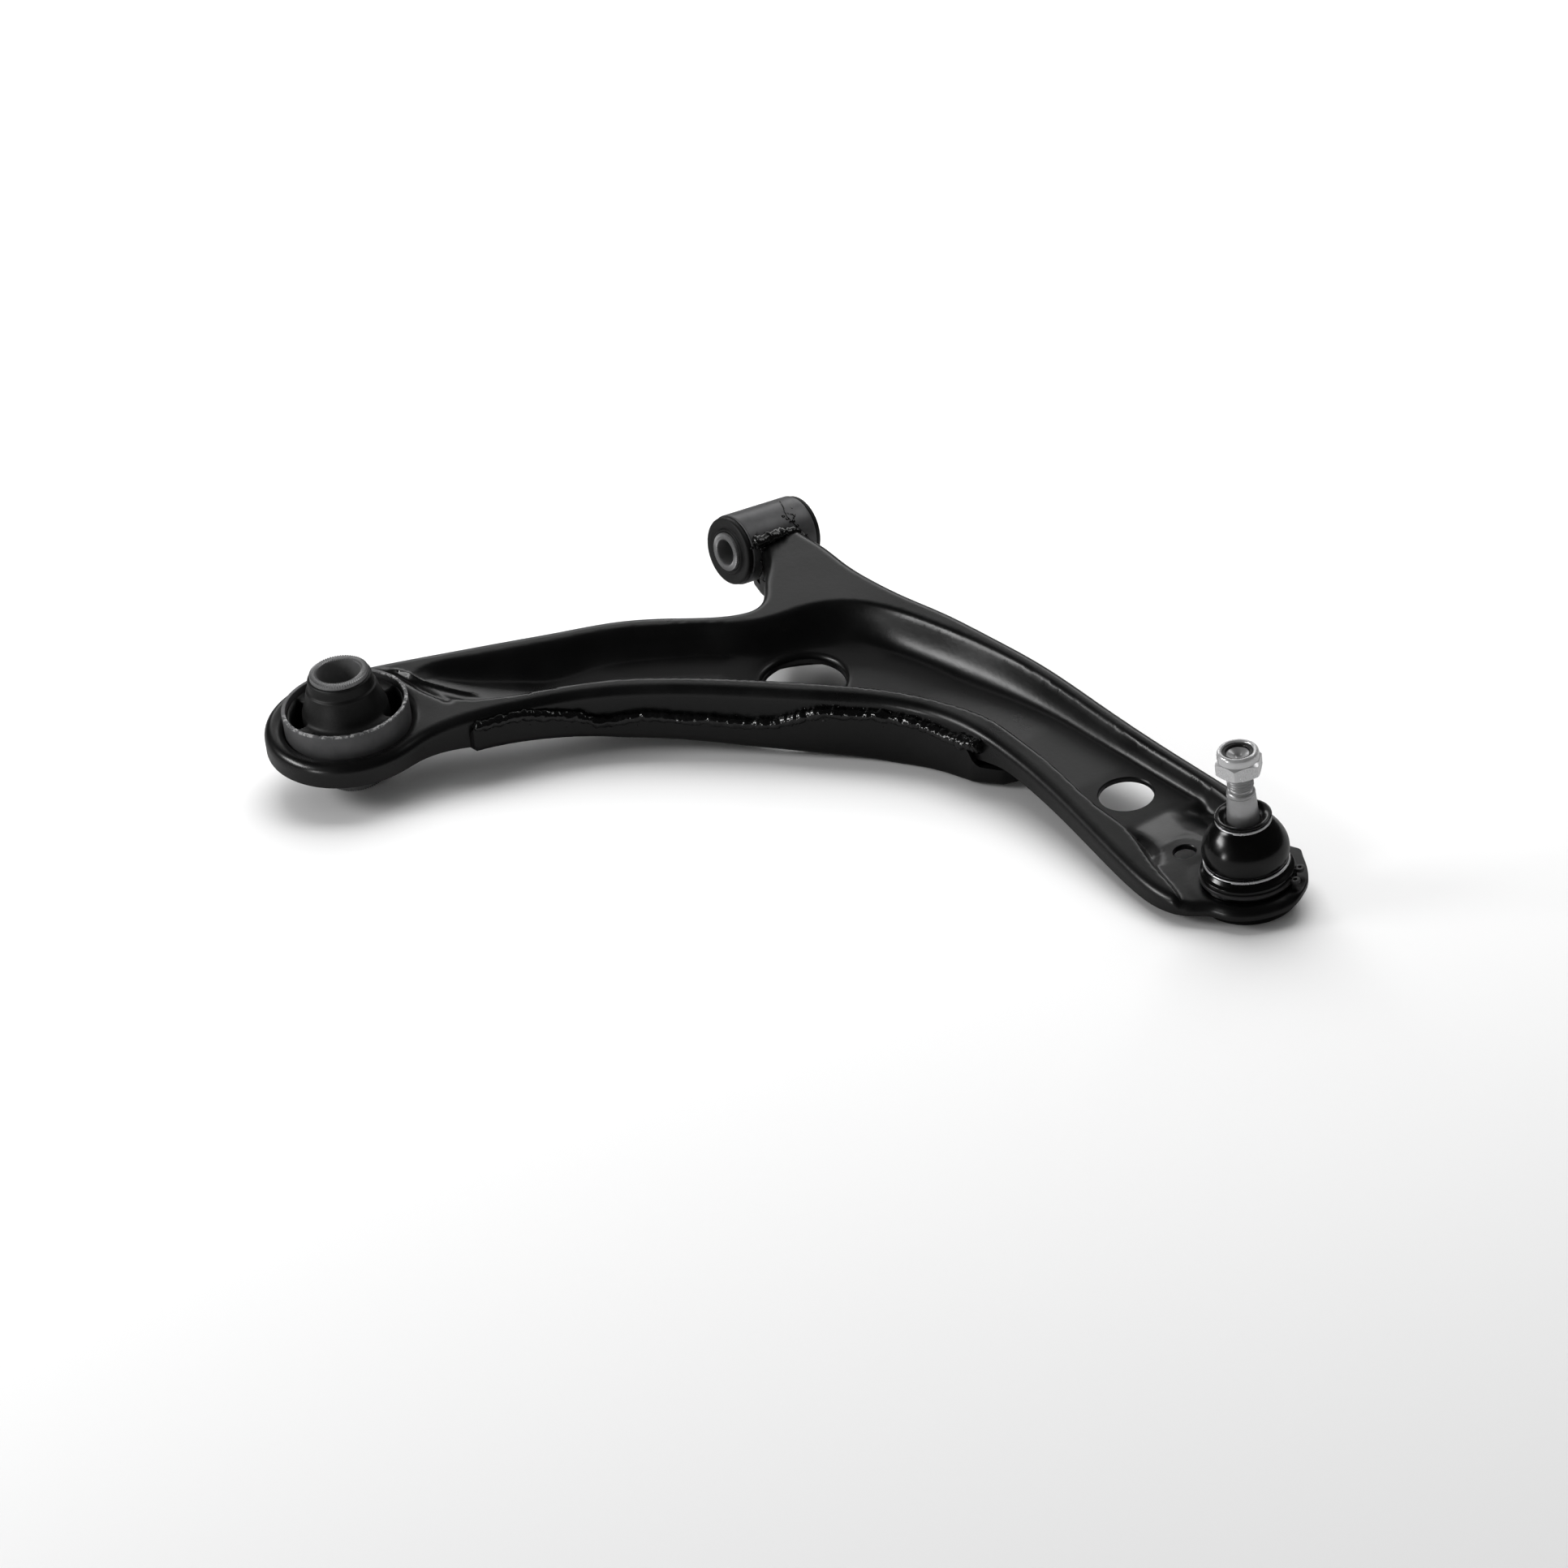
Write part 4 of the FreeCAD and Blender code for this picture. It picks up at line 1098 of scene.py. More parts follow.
def weld_run(name, path, r, amp, seed, n_seg=14, pulse=3.2):
    """Bead with the stacked crescents of an arc weld and uneven edges."""
    P = np.asarray(path, float)
    d = np.linalg.norm(np.diff(P, axis=0), axis=1)
    s = np.concatenate([[0], np.cumsum(d)])
    n = max(8, int(s[-1] / 0.7))
    t = np.linspace(0, s[-1], n)
    Q = np.stack([np.interp(t, s, P[:, k]) for k in range(3)], 1)
    k = np.hanning(9)
    k /= k.sum()
    for c in range(3):
        Q[:, c] = np.convolve(np.pad(Q[:, c], 4, mode="edge"), k, mode="valid")
    ph = t / pulse + 0.5 * np.array([noise.noise(Vector((x * 0.15 + seed, 0, 0))) for x in t])
    rad = r * (1 + 0.10 * (ph - np.floor(ph)) + 0.22 * np.array([noise.noise(Vector((x * 0.22, seed, 3.0))) for x in t]))
    rad[0] *= 0.4
    rad[-1] *= 0.5
    V, F = tube_along(Q, rad, n_seg)
    V = lumpy(V, amp, 0.35, seed)
    V = lumpy(V, amp * 0.45, 1.1, seed + 5)
    return V, F


ss = np.linspace(s0 + 1.0, s1 + 5.0, 150)
ww = np.interp(ss, seam_s, seam_w)
sp = np.column_stack([out_at(ss, 1.7 - 0.5), ww + 0.3])
beads = [weld_run("a", to_row(sp), 2.6, 0.75, 1.0)]
# end bump and a few spatter balls
eb = np.column_stack([out_at(np.linspace(s1 - 9, s1 + 6.5, 12), 1.4), np.interp(np.linspace(s1 - 9, s1 + 6.5, 12), seam_s, seam_w) + np.linspace(0.5, 1.2, 12)])
beads.append(weld_run("b", to_row(eb), 3.2, 1.0, 8.0))


def blob(c, r, seed, squash=(1, 1, 1)):
    bm = bmesh.new()
    bmesh.ops.create_icosphere(bm, subdivisions=3, radius=r)
    V = np.array([v.co[:] for v in bm.verts])
    F = [tuple(v.index for v in f.verts) for f in bm.faces]
    bm.free()
    V = V * np.array(squash)
    V = lumpy(V, r * 0.22, 1.2 / r, seed)
    return V + np.array(c), F


for i in range(58):
    s = s0 + (s1 - s0) * (rng.rand() if i < 9 else 0.5 + 0.5 * rng.rand())
    dw = rng.uniform(-5, 6) if i < 34 else rng.uniform(-1.5, 3.5)
    P = np.column_stack([out_at(np.array([s]), -0.1 if dw > 0 else 2.8), [min(np.interp(s, seam_s, seam_w) + dw, -5.0)]])
    beads.append(blob(to_row(P)[0], rng.uniform(0.25, 0.6), 20 + i))
V, F = join(beads)
seam = mesh_object("seam_bead", V, F, smooth=True)
piece(seam, "arm", M_WELD, ["near_seam_weld"])

# neck to tube
nb = []
path = []
for p in [(13.2, -16.5, 10.4), (15.0, -12.8, 10.8), (15.7, -10.1, 10.5), (14.8, -2.4, 9.9), (14.7, 4.7, 8.2), (15.3, 9.5, 5.9), (16.6, 11.8, 2.0), (17.2, 12.2, -3.0)]:
    path.append(p)
path = np.array(path)
P = path.copy()
for k in range(2):
    P = np.vstack([P[:1], (P[:-1] + P[1:]) / 2, P[-1:]]) if k == 0 else P
P = np.vstack([path[0]] + [path[i] * (1 - t) + path[i + 1] * t for i in range(len(path) - 1) for t in (0.25, 0.5, 0.75, 1.0)])
for i in range(len(P)):
    a_ = P[i] @ ax
    rr_ = P[i] - a_ * ax
    P[i] = a_ * ax + rr_ / np.linalg.norm(rr_) * 17.6
nb.append(weld_run("n", P, 2.9, 0.8, 31.0, 16, 3.6))
lowp = np.array([(15.7, -10.8, 9.0), (16.9, -11.5, 5.0), (17.9, -10.9, 0.5), (17.2, -11.2, -5.0), (15.0, -11.5, -9.5)])
P = np.vstack([lowp[0]] + [lowp[i] * (1 - t) + lowp[i + 1] * t for i in range(len(lowp) - 1) for t in (0.25, 0.5, 0.75, 1.0)])
nb.append(weld_run("m", P, 2.4, 0.8, 47.0, 14, 3.2))
for i, (p, r) in enumerate([((16.2, -17.5, 10.2), 0.9), ((15.0, -15.4, 11.4), 0.8), ((17.6, -13.6, 2.2), 1.0), ((12.6, 9.4, 12.4), 0.7), ((11.6, 12.4, 13.2), 0.5), ((14.2, 12.4, 9.4), 0.6)]):
    p = np.array(p)
    a_ = p @ ax
    rr_ = p - a_ * ax
    p = a_ * ax + rr_ / np.linalg.norm(rr_) * 17.35
    nb.append(blob(p, r, 60 + i))
crack = np.array([(-2.3, 13.1, 15.3), (3.5, 11.2, 15.2), (6.5, 9.7, 14.5), (8.6, 9.2, 13.5), (11.0, 9.8, 11.5), (12.6, 10.8, 9.6), (14.5, 11.5, 6.7), (15.6, 12.8, 3.7), (16.0, 15.2, 1.5)])


def on_tube(p, r):
    a_ = p @ ax
    q = p - a_ * ax
    return a_ * ax + q / np.linalg.norm(q) * r


cp = [crack[i] * (1 - t) + crack[i + 1] * t for i in range(len(crack) - 1) for t in np.arange(0, 1, 0.12)]
cp = np.array([on_tube(p + rng.uniform(-0.16, 0.16, 3), FT_R + 0.04) for p in cp])
V, F = tube_along(cp, 0.2 + 0.14 * rng.rand(len(cp)), 8)
nb.append((V, F))
for i, (p, r) in enumerate([((8.5, 7.5, 13.9), 1.0), ((8.9, 13.3, 12.4), 0.9), ((9.9, 8.6, 12.7), 0.9), ((11.4, 11.2, 10.9), 0.9), ((5.3, 14.9, 13.9), 0.45), ((14.8, -9.3, 11.8), 0.8), ((16.4, -14.0, 10.5), 0.9), ((17.0, -10.3, 8.0), 0.6),
                            ((8.4, 12.2, 13.0), 0.6), ((9.6, 13.0, 12.0), 0.6), ((15.2, 13.0, 5.0), 0.8), ((15.9, 15.0, 3.0), 0.6)]):
    v_, f_ = blob((0, 0, 0), r, 90 + i, (1, 1, 1))
    c_ = on_tube(np.array(p), FT_R)
    nrm_ = c_ - (c_ @ ax) * ax
    nrm_ /= np.linalg.norm(nrm_)
    v_ = v_ - np.outer(v_ @ nrm_, nrm_) * 0.72
    nb.append((v_ + c_, f_))
V, F = join(nb)
neck = mesh_object("neck_weld_bead", V, F, smooth=True)
piece(neck, "arm", M_WELD, ["neck_tube_weld"])

# ------------------------------------------------------------------ front bush
def lathe_piece(name, prof, mat, body, replaces, place=None, seg=128, closed=True, warp=None, sharp=38):
    V, F = revolve(prof, seg, closed, warp)
    if place is not None:
        V = place(V)
    ob = mesh_object(name, V, F, sharp=sharp, recalc=True)
    return piece(ob, body, mat, replaces)


ft = fillet([(FT_RI, -FT_HALF, 0.35), (FT_R, -FT_HALF, 0.6), (FT_R, FT_HALF, 0.6), (FT_RI, FT_HALF, 0.35)], 4)
dense = []
for i in range(len(ft)):
    a, b = np.array(ft[i]), np.array(ft[(i + 1) % len(ft)])
    m = max(1, int(np.linalg.norm(b - a) / 1.5))
    dense += [tuple(a + (b - a) * k / m) for k in range(m)]


lathe_piece("front_tube_shell", dense, M_TUBE, "arm", ["front_bush_tube"], on_front, 220, warp=None)
fr = [(FI_R + 0.02, -FL_S1 + 0.3), (FI_R + 1.3, -FL_S1 - 0.2, 0.5), (FI_R + 2.2, -FL_S1 + 0.9, 0.5), (FL_R - 3.2, -FL_S1 + 0.4, 0.9), (FL_R, -FL_S1 + 0.1, 1.4), (FL_R + 0.1, -FL_S0 + 0.15, 0.6), (14.6, -FL_S0 + 0.75, 0.3), (14.0, -18.0),
      (14.0, 18.0), (14.6, FL_S0 - 0.75, 0.3), (FL_R + 0.1, FL_S0 - 0.15, 0.6), (FL_R, FL_S1 - 0.1, 1.4), (FL_R - 3.2, FL_S1 - 0.4, 0.9), (FI_R + 2.2, FL_S1 - 0.9, 0.5), (FI_R + 1.3, FL_S1 + 0.2, 0.5), (FI_R + 0.02, FL_S1 - 0.3)]
fr = [(p[0], p[1], p[2] if len(p) > 2 else 0) for p in fr]
lathe_piece("front_rubber_moulding", fillet(fr, 5), M_RUBBER, "arm", ["front_bush_rubber"], on_front, 128)


def sleeve(name, ro, ri, z0, z1, teeth, depth, place, body, node, mat=M_SLEEVE):
    """Inner sleeve with radial serrations pressed into both end faces, at the rim and at the bore."""
    rs = [ri + 0.25, ri + 0.9, (ri + ro) / 2 - 0.5, (ri + ro) / 2 + 0.5, ro - 1.0, ro - 0.3]
    prof = [(ri, z0 + 0.5), (ri, z0 + 3)] + [(ri, z) for z in np.linspace(z0 + 8, z1 - 8, 4)] + [(ri, z1 - 3), (ri, z1 - 0.5)]
    prof += [(r, z1) for r in rs] + [(ro, z1 - 0.45), (ro, z1 - 2)] + [(ro, z) for z in np.linspace(z1 - 8, z0 + 8, 4)] + [(ro, z0 + 2), (ro, z0 + 0.45)]
    prof += [(r, z0) for r in rs[::-1]]

    def warp(R, Z, A):
        tt = (A * teeth / (2 * math.pi)) % 1.0
        tri = np.abs(tt - 0.5) * 2
        band = np.maximum(sstep(ro - 1.9, ro - 0.7, R), 1 - sstep(ri + 0.5, ri + 1.5, R))
        atop = (Z > z1 - 0.6) * 1.0
        abot = (Z < z0 + 0.6) * 1.0
        Z2 = Z - depth * (1 - tri) * band * atop + depth * (1 - tri) * band * abot
        R2 = np.where((R > ro - 0.05) & (np.abs(Z - (z1 + z0) / 2) > (z1 - z0) / 2 - 0.6), R - 0.18 * (1 - tri), R)
        return R2, Z2, A

    return lathe_piece(name, prof, mat, body, [node], place, teeth * 4, True, warp, 32)


sleeve("front_inner_serrated", FI_R, FI_BORE, -FI_HALF, FI_HALF, 56, 0.34, on_front, "front_pivot", "front_bush_inner_sleeve")


def at_rear(V):
    return np.asarray(V) + [0, REAR_Y, 0]


def at_ball(V):
    return np.asarray(V) + [BALL_X, 0, 0]


sleeve("rear_inner_serrated", RI_R, RI_BORE, RI_Z0, RI_Z1, 72, 0.6, at_rear, "rear_pivot", "rear_bush_inner_sleeve")

# ------------------------------------------------------------------ rear bush
rs = fillet([(RS_R - RS_T, RS_Z0, 0.3), (RS_R, RS_Z0, 0.9), (RS_R, RS_Z1, 0.35), (RS_R - RS_T, RS_Z1, 0.45)], 4)
dense = []
for i in range(len(rs)):
    a, b = np.array(rs[i]), np.array(rs[(i + 1) % len(rs)])
    m = max(1, int(np.linalg.norm(b - a) / 2.0))
    dense += [tuple(a + (b - a) * k / m) for k in range(m)]


def chipped(R, Z, A):
    n = np.array([noise.noise(Vector((math.cos(a) * 14, math.sin(a) * 14, 1.0))) + 0.5 * noise.noise(Vector((math.cos(a) * 40, math.sin(a) * 40, 4.0))) for a in A[:, 0]])[:, None]
    k = np.clip(n - 0.1, 0, 1) * np.clip(np.cos(A + 0.35) * 1.4, 0, 1)
    z = Z - 0.9 * k * (Z > RS_Z1 - 0.5)
    return R, z, A


lathe_piece("rear_outer_shell", dense, M_OUTER, "arm", ["rear_bush_outer_sleeve"], at_rear, 360, True, chipped, 30)

# rubber: surface of revolution with kidney voids sunk between a core and a rim
ri = RS_R - RS_T - 0.02
top_prof = [(ri, 12.6), (27.3, 13.2), (26.2, 13.3), (25.0, 12.8), (23.2, 12.6), (21.6, 12.8), (20.4, 13.8), (19.4, 16.2), (18.5, 19.0), (17.6, 21.8), (16.9, 24.2), (16.6, 25.4), (15.7, 26.0), (15.5, 27.0), (15.3, 30.0), (14.9, 31.2), (RI_R + 0.03, 31.5)]
bot_prof = [(RI_R + 0.03, -19.0), (15.6, -19.0), (16.6, -17.0), (18.4, -13.6), (21.0, -9.8), (25.0, -8.6), (ri, -8.0)]


def spl(pts, n):
    P = np.asarray(pts, float)
    d = np.concatenate([[0], np.cumsum(np.linalg.norm(np.diff(P, axis=0), axis=1))])
    # Catmull-Rom through the points
    out = []
    m = len(P)
    for i in range(m - 1):
        p0, p1, p2, p3 = P[max(i - 1, 0)], P[i], P[i + 1], P[min(i + 2, m - 1)]
        k = max(2, int(round(n * (d[i + 1] - d[i]) / d[-1])))
        for t in np.arange(k) / k:
            out.append(0.5 * ((2 * p1) + (-p0 + p2) * t + (2 * p0 - 5 * p1 + 4 * p2 - p3) * t * t + (-p0 + 3 * p1 - 3 * p2 + p3) * t ** 3))
    out.append(P[-1])
    return np.array(out)


tp = spl(top_prof, 60)
bp_ = spl(bot_prof, 30)
outer_wall = [(ri, z) for z in np.linspace(-5, 10, 4)]
inner_wall = [(RI_R + 0.03, z) for z in np.linspace(28, -16, 8)]
rprof = np.vstack([tp, inner_wall, bp_, outer_wall])


def voids(R, Z, A):
    """Two opposed kidney voids: the top is sunk deep between r 20.5 and 26."""
    Z2 = Z.copy()
    for a0 in (math.radians(-121), math.radians(59)):
        d = np.abs((A - a0 + math.pi) % (2 * math.pi) - math.pi)
        ka = 1 - sstep(0.42, 0.54, d)
        kr = sstep(20.2, 21.4, R) * (1 - sstep(25.6, 26.6, R))
        topm = Z > 10.0
        Z2 = np.where(topm, Z2 - (Z2 + 2.0) * ka * kr, Z2)
    # small mould mark on the membrane
    dx, dy = R * np.cos(A) - 23.6 * math.cos(math.radians(-72)), R * np.sin(A) - 23.6 * math.sin(math.radians(-72))
    Z2 = Z2 + 0.45 * (1 - sstep(0.5, 1.1, np.hypot(dx, dy))) * (Z > 10.0)
    return R, Z2, A


V, F = revolve(rprof, 280, True, voids)
V = at_rear(V)
full = mesh_object("tmp_rear", V, F, recalc=True)
vn = np.array([v.normal[:] for v in full.data.vertices])
co = np.array([v.co[:] for v in full.data.vertices]) / MM
fc = [tuple(p.vertices) for p in full.data.polygons]
bpy.data.objects.remove(full)


def split_mesh(name, co, fc, vn, keep, mat):
    sel = [f for f in fc if keep(co[list(f)].mean(0))]
    ids = sorted(set(i for f in sel for i in f))
    mp = {k: j for j, k in enumerate(ids)}
    ob = mesh_object(name, co[ids], [tuple(mp[i] for i in f) for f in sel], normals=vn[ids])
    ob.data.materials.append(mat)
    return ob


for nm, sg in (("rear_rubber_outboard", 1), ("rear_rubber_inboard", -1)):
    ob = split_mesh(nm, co, fc, vn, (lambda c, sg=sg: c[0] * sg > 0), M_RUBBER)
    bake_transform(ob)
    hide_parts("rear_bush_rubber")

# ------------------------------------------------------------------ ball joint
fl_top = PAD_Z - 3.2 - 0.02
hp = [(17.45, -22.6), (17.45, -13.0), (16.0, -6.6), (15.1, -3.4), (17.0, -3.1, 0.3), (17.0, -5.4), (18.2, -5.8, 0.3), (19.4, -7.2, 0.5), (HB_R, -8.2, 0.5), (HB_R, -9.8, 0.2), (19.3, -9.9), (19.3, -11.5), (HB_R, -11.6, 0.2),
      (HB_R, fl_top), (22.6, fl_top, 0.4), (22.6, -20.6, 1.0), (21.9, -23.4, 0.8), (21.4, -24.9, 0.5), (19.6, -25.2, 0.3), (19.6, -22.6)]
lathe_piece("joint_housing_body", fillet(hp, 5), M_HOUSE, "arm", ["ball_joint_housing"], at_ball, 160)
cv = [(0.0, -24.6), (9.0, -24.6, 2.0), (12.5, -24.3, 2.0), (19.5, -24.2, 0.3), (19.5, -22.65), (12.0, -22.65), (0.0, -23.0)]
lathe_piece("joint_cover_disc", fillet(cv, 5), M_PLATE, "arm", ["ball_joint_bottom_cover"], at_ball, 128)

# stud: ball with a flat, neck, 1:8 taper, shoulder, relief groove and a real helical thread
PITCH = 1.25
sp_ = []
th0 = math.asin(min(1, 6.3 / BALL_R))
a_end = math.pi - math.acos((BALL_R - 0.7) / BALL_R)
for k in range(41):
    a = th0 + (a_end - th0) * k / 40
    sp_.append((BALL_R * math.sin(a), BALL_Z + BALL_R * math.cos(a)))
sp_ = sp_[::-1]
body_prof = [(0.0, BALL_Z - BALL_R + 0.7)] + sp_ + [(6.3, 2.0), (6.4, 6.0), (6.9, 10.0, 0), (7.35, 15.0), (6.85, 23.0), (6.45, 29.6), (6.4, 30.2), (6.15, 30.35), (6.15, 30.9), (6.4, 31.1), (6.3, 31.8), (6.0, 32.3), (5.5, 32.7), (5.1, 32.9), (5.1, 33.4)]
body_prof = [tuple(p[:2]) for p in body_prof]
zs = np.arange(33.6, 51.0, 0.115)
thread = [(5.8, z) for z in zs]
endp = [(5.2, 51.05), (4.8, 51.2), (4.5, 51.0), (2.2, 49.9), (1.9, 49.6), (1.2, 48.9), (0.0, 48.6)]
prof = body_prof + thread + endp


def thread_warp(R, Z, A):
    m = (Z > 33.55) & (Z < 51.05) & (R > 5.5)
    ph = (Z / PITCH - A / (2 * math.pi)) % 1.0
    tri = np.abs(ph - 0.5) * 2
    crest = np.clip(tri * 1.25 - 0.08, 0, 1)
    lead = sstep(33.6, 34.6, Z) * (1 - sstep(50.2, 51.0, Z))
    return np.where(m, 5.2 + 0.72 * crest * (0.35 + 0.65 * lead), R), Z, A


lathe_piece("stud_threaded", prof, M_STUD, "stud", ["ball_stud"], at_ball, 144, False, thread_warp, 32)

# boot: one glossy bellows, split in two at z 8 below the collar
bo = [(17.35, -5.2), (18.35, -5.15), (18.45, -4.6), (18.25, -3.9), (18.7, -2.6), (19.2, -0.5), (19.35, 1.5), (19.2, 4.0), (18.5, 6.6), (17.3, 9.1), (15.7, 11.6), (13.9, 13.8), (12.5, 15.3), (11.8, 16.2), (11.45, 16.8), (11.6, 17.5), (12.2, 18.1), (12.65, 18.7), (12.6, 19.3),
      (11.9, 19.6), (11.0, 19.5), (10.0, 19.0), (9.0, 18.2), (8.2, 17.4), (7.6, 16.9), (7.45, 16.2), (8.3, 15.4), (9.8, 14.2), (12.6, 11.9), (15.2, 8.5), (16.7, 4.4), (17.0, 0.8), (16.8, -1.6), (16.7, -2.75), (17.35, -2.8)]
bpf = spl(bo, 150)
V, F = revolve(bpf, 160, True)
V = at_ball(V)
tmp = mesh_object("tmp_boot", V, F, recalc=True)
vn = np.array([v.normal[:] for v in tmp.data.vertices])
co = np.array([v.co[:] for v in tmp.data.vertices]) / MM
fc = [tuple(p.vertices) for p in tmp.data.polygons]
bpy.data.objects.remove(tmp)
lo = split_mesh("boot_lower", co, fc, vn, lambda c: c[2] < 8.0, M_BOOT)
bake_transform(lo)
hi = split_mesh("boot_upper", co, fc, vn, lambda c: c[2] >= 8.0, M_BOOT)
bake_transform(hi)
for ob in (lo, hi):
    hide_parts("dust_boot")


def wire_ring(name, r, z, gap, wire_r, body, node):
    """Spring clamp: a wire wound nearly two turns, ends cut square."""
    n = 360
    a = np.linspace(math.radians(-60), math.radians(-60) + 2 * math.pi * 1.92, n)
    zz = z + gap * (np.linspace(0, 1, n) - 0.5)
    P = np.column_stack([BALL_X + r * np.cos(a), r * np.sin(a), zz])
    V, F = tube_along(P, wire_r, 10)
    ob = mesh_object(name, V, F)
    return piece(ob, body, M_WIRE, [node])


wire_ring("clamp_wire_lower", 18.75, -4.3, 1.0, 0.42, "arm", "boot_lower_clamp")
wire_ring("clamp_wire_upper", 12.05, 17.0, 0.9, 0.42, "boot_collar", "boot_upper_clamp")

# snap ring with two eyed lugs
def snap_profile():
    zt, zb = -9.95, -11.45
    pts = []
    a0, gapw = math.radians(38), math.radians(8.2)
    n = 150
    inner, outer = [], []
    for k in range(n + 1):
        a = a0 + gapw + (2 * math.pi - 2 * gapw) * k / n
        grow = 1.0 + 0.0 * k
        ro = 21.6
        inner.append((19.35 * math.cos(a), 19.35 * math.sin(a)))
        outer.append((ro * math.cos(a), ro * math.sin(a)))
    return inner, outer, zt, zb


inn, out_, zt, zb = snap_profile()
n = len(inn)
V, F = [], []
ch = 0.18
for k in range(n):
    ix, iy = inn[k]
    ox, oy = out_[k]
    ca = math.atan2(oy, ox)
    c, s = math.cos(ca), math.sin(ca)
    for r_, z_ in ((19.35, zb), (19.35, zt - ch), (19.35 + ch, zt), (21.6 - ch, zt), (21.6, zt - ch), (21.6, zb)):
        V.append((BALL_X + r_ * c, r_ * s, z_))
for k in range(n - 1):
    for q in range(6):
        a, b = k * 6 + q, k * 6 + (q + 1) % 6
        F.append((a, b, b + 6, a + 6))
F.append(tuple(range(6)))
F.append(tuple((n - 1) * 6 + i for i in range(6))[::-1])
parts = [(np.array(V), F)]
for s in (-1, 1):
    lug_prof = fillet([(0.85, zb), (2.3, zb, 0.2), (2.3, zt, 0.25), (0.85, zt, 0.15)], 3)
    lv, lf = revolve(lug_prof, 48)
    a = math.radians(38)
    cx, cy = 22.4, s * 4.7
    lv = lv + [cx, cy, 0.0]
    R = rot((0, 0, 1), a)
    parts.append((lv @ R.T + [BALL_X, 0, 0], lf))
V, F = join(parts)
ob = mesh_object("snap_ring_wire", V, F, sharp=35, recalc=True)
piece(ob, "arm", M_RING, ["snap_ring"])

# ------------------------------------------------------------------ lock nut
af = NUT_AF / 2
segs = 6 * 28


def hexr(A):
    t = (A - math.radians(12) + math.pi / 6) % (math.pi / 3) - math.pi / 6
    t = np.abs(((A - math.radians(12)) % (math.pi / 3)) - math.pi / 6)
    r = af / np.cos(t)
    rc = af / math.cos(math.pi / 6)
    return np.minimum(r, rc - 0.12 - 0.6 * np.clip((t - math.radians(27.5)) / math.radians(2.5), 0, 1) ** 2 * 0.4)


np_ = []
np_ += [("c", 5.94, NUT_Z0 + 0.7), ("c", 6.6, NUT_Z0), ("c", 8.6, NUT_Z0), ("h", 0.55, 0), ("h", 1.0, 0)]
rows_n = []
prof_pts = [
    ("r", 6.0, NUT_Z0 + 0.6), ("r", 6.55, NUT_Z0 + 0.02), ("r", 8.4, NUT_Z0), ("r", 9.1, NUT_Z0),
    ("hb", 0.0), ("hb", 1.0), ("hm", 0.25), ("hm", 0.5), ("hm", 0.75), ("ht", 1.0), ("ht", 0.5), ("ht", 0.0),
    ("r", 9.25, 48.9), ("r", 9.28, 49.8), ("r", 9.3, 50.9), ("r", 9.22, 51.7), ("r", 9.0, 52.4), ("r", 8.6, 52.9), ("r", 8.1, 53.16), ("r", 7.6, 53.15), ("r", 7.2, 52.9), ("r", 6.95, 52.55), ("r", 6.9, 52.3),
    ("r", 7.86, 52.25), ("r", 7.86, 49.7), ("r", 6.0, 49.7), ("r", 6.0, 46.0)]
ang = np.arange(segs) * 2 * math.pi / segs
H = hexr(ang)
Vn = np.zeros((segs, len(prof_pts), 3))
for k, p in enumerate(prof_pts):
    if p[0] == "r":
        r, z = np.full(segs, p[1]), np.full(segs, p[2])
    elif p[0] == "hb":
        r0 = np.full(segs, 9.35)
        r = r0 + (H - r0) * p[1]
        r = np.maximum(r, 9.36)
        z = NUT_Z0 + (r - 9.3) * 0.50
    elif p[0] == "ht":
        r0 = np.full(segs, 9.3)
        r = r0 + (H - r0) * p[1]
        r = np.maximum(r, 9.3 + 0.02 * p[1])
        z = 48.9 - (r - 9.25) * 0.62
    else:
        r = H
        zb_ = NUT_Z0 + (np.maximum(H, 9.36) - 9.3) * 0.50
        zt_ = 48.9 - (np.maximum(H, 9.3) - 9.25) * 0.62
        z = zb_ * (1 - p[1]) + zt_ * p[1]
    Vn[:, k] = np.column_stack([r * np.cos(ang), r * np.sin(ang), z])
V = Vn.reshape(-1, 3)
m = len(prof_pts)
F = []
for i in range(segs):
    j = (i + 1) % segs
    for k in range(m):
        l = (k + 1) % m
        F.append((i * m + k, j * m + k, j * m + l, i * m + l))
ob = mesh_object("lock_nut_body", at_ball(V), F, sharp=28, recalc=True)
piece(ob, "stud", M_ZINC, ["lock_nut"])
lathe_piece("nut_nylon_ring", fillet([(5.96, 49.75, 0.2), (7.8, 49.75), (7.8, 52.2, 0.2), (5.6, 52.2, 0.4), (5.3, 51.5, 0.2)], 4), M_NYLON, "stud", ["lock_nut_insert"], at_ball, 96)

# carried-over pieces inside the joint and the front bush
for nme, mt_ in (("ball_joint_liner", M_ACETAL), ("ball_joint_preload_ring", M_ACETAL), ("front_bush_outer_sleeve", M_OUTER)):
    o = NODES[nme]
    o.data.materials.clear()
    o.data.materials.append(mt_)

# ------------------------------------------------------------------ stage: floor under the three points it rests on, light, camera
a3 = np.array([0.0, REAR_Y, RI_Z0])
pts = row4[used]
cands = [a3]
ballp = np.array([[BALL_X + 20.5 * math.cos(t), 20.5 * math.sin(t), -25.2] for t in np.linspace(0, 2 * math.pi, 24, endpoint=False)])
ringp = np.array([[RI_R * 0.9 * math.cos(t), REAR_Y + RI_R * 0.9 * math.sin(t), RI_Z0] for t in np.linspace(0, 2 * math.pi, 24, endpoint=False)])
trayp = pts[::7]
best = None
cloud = np.vstack([ballp, ringp, trayp])
nrm_f, off_f = None, None
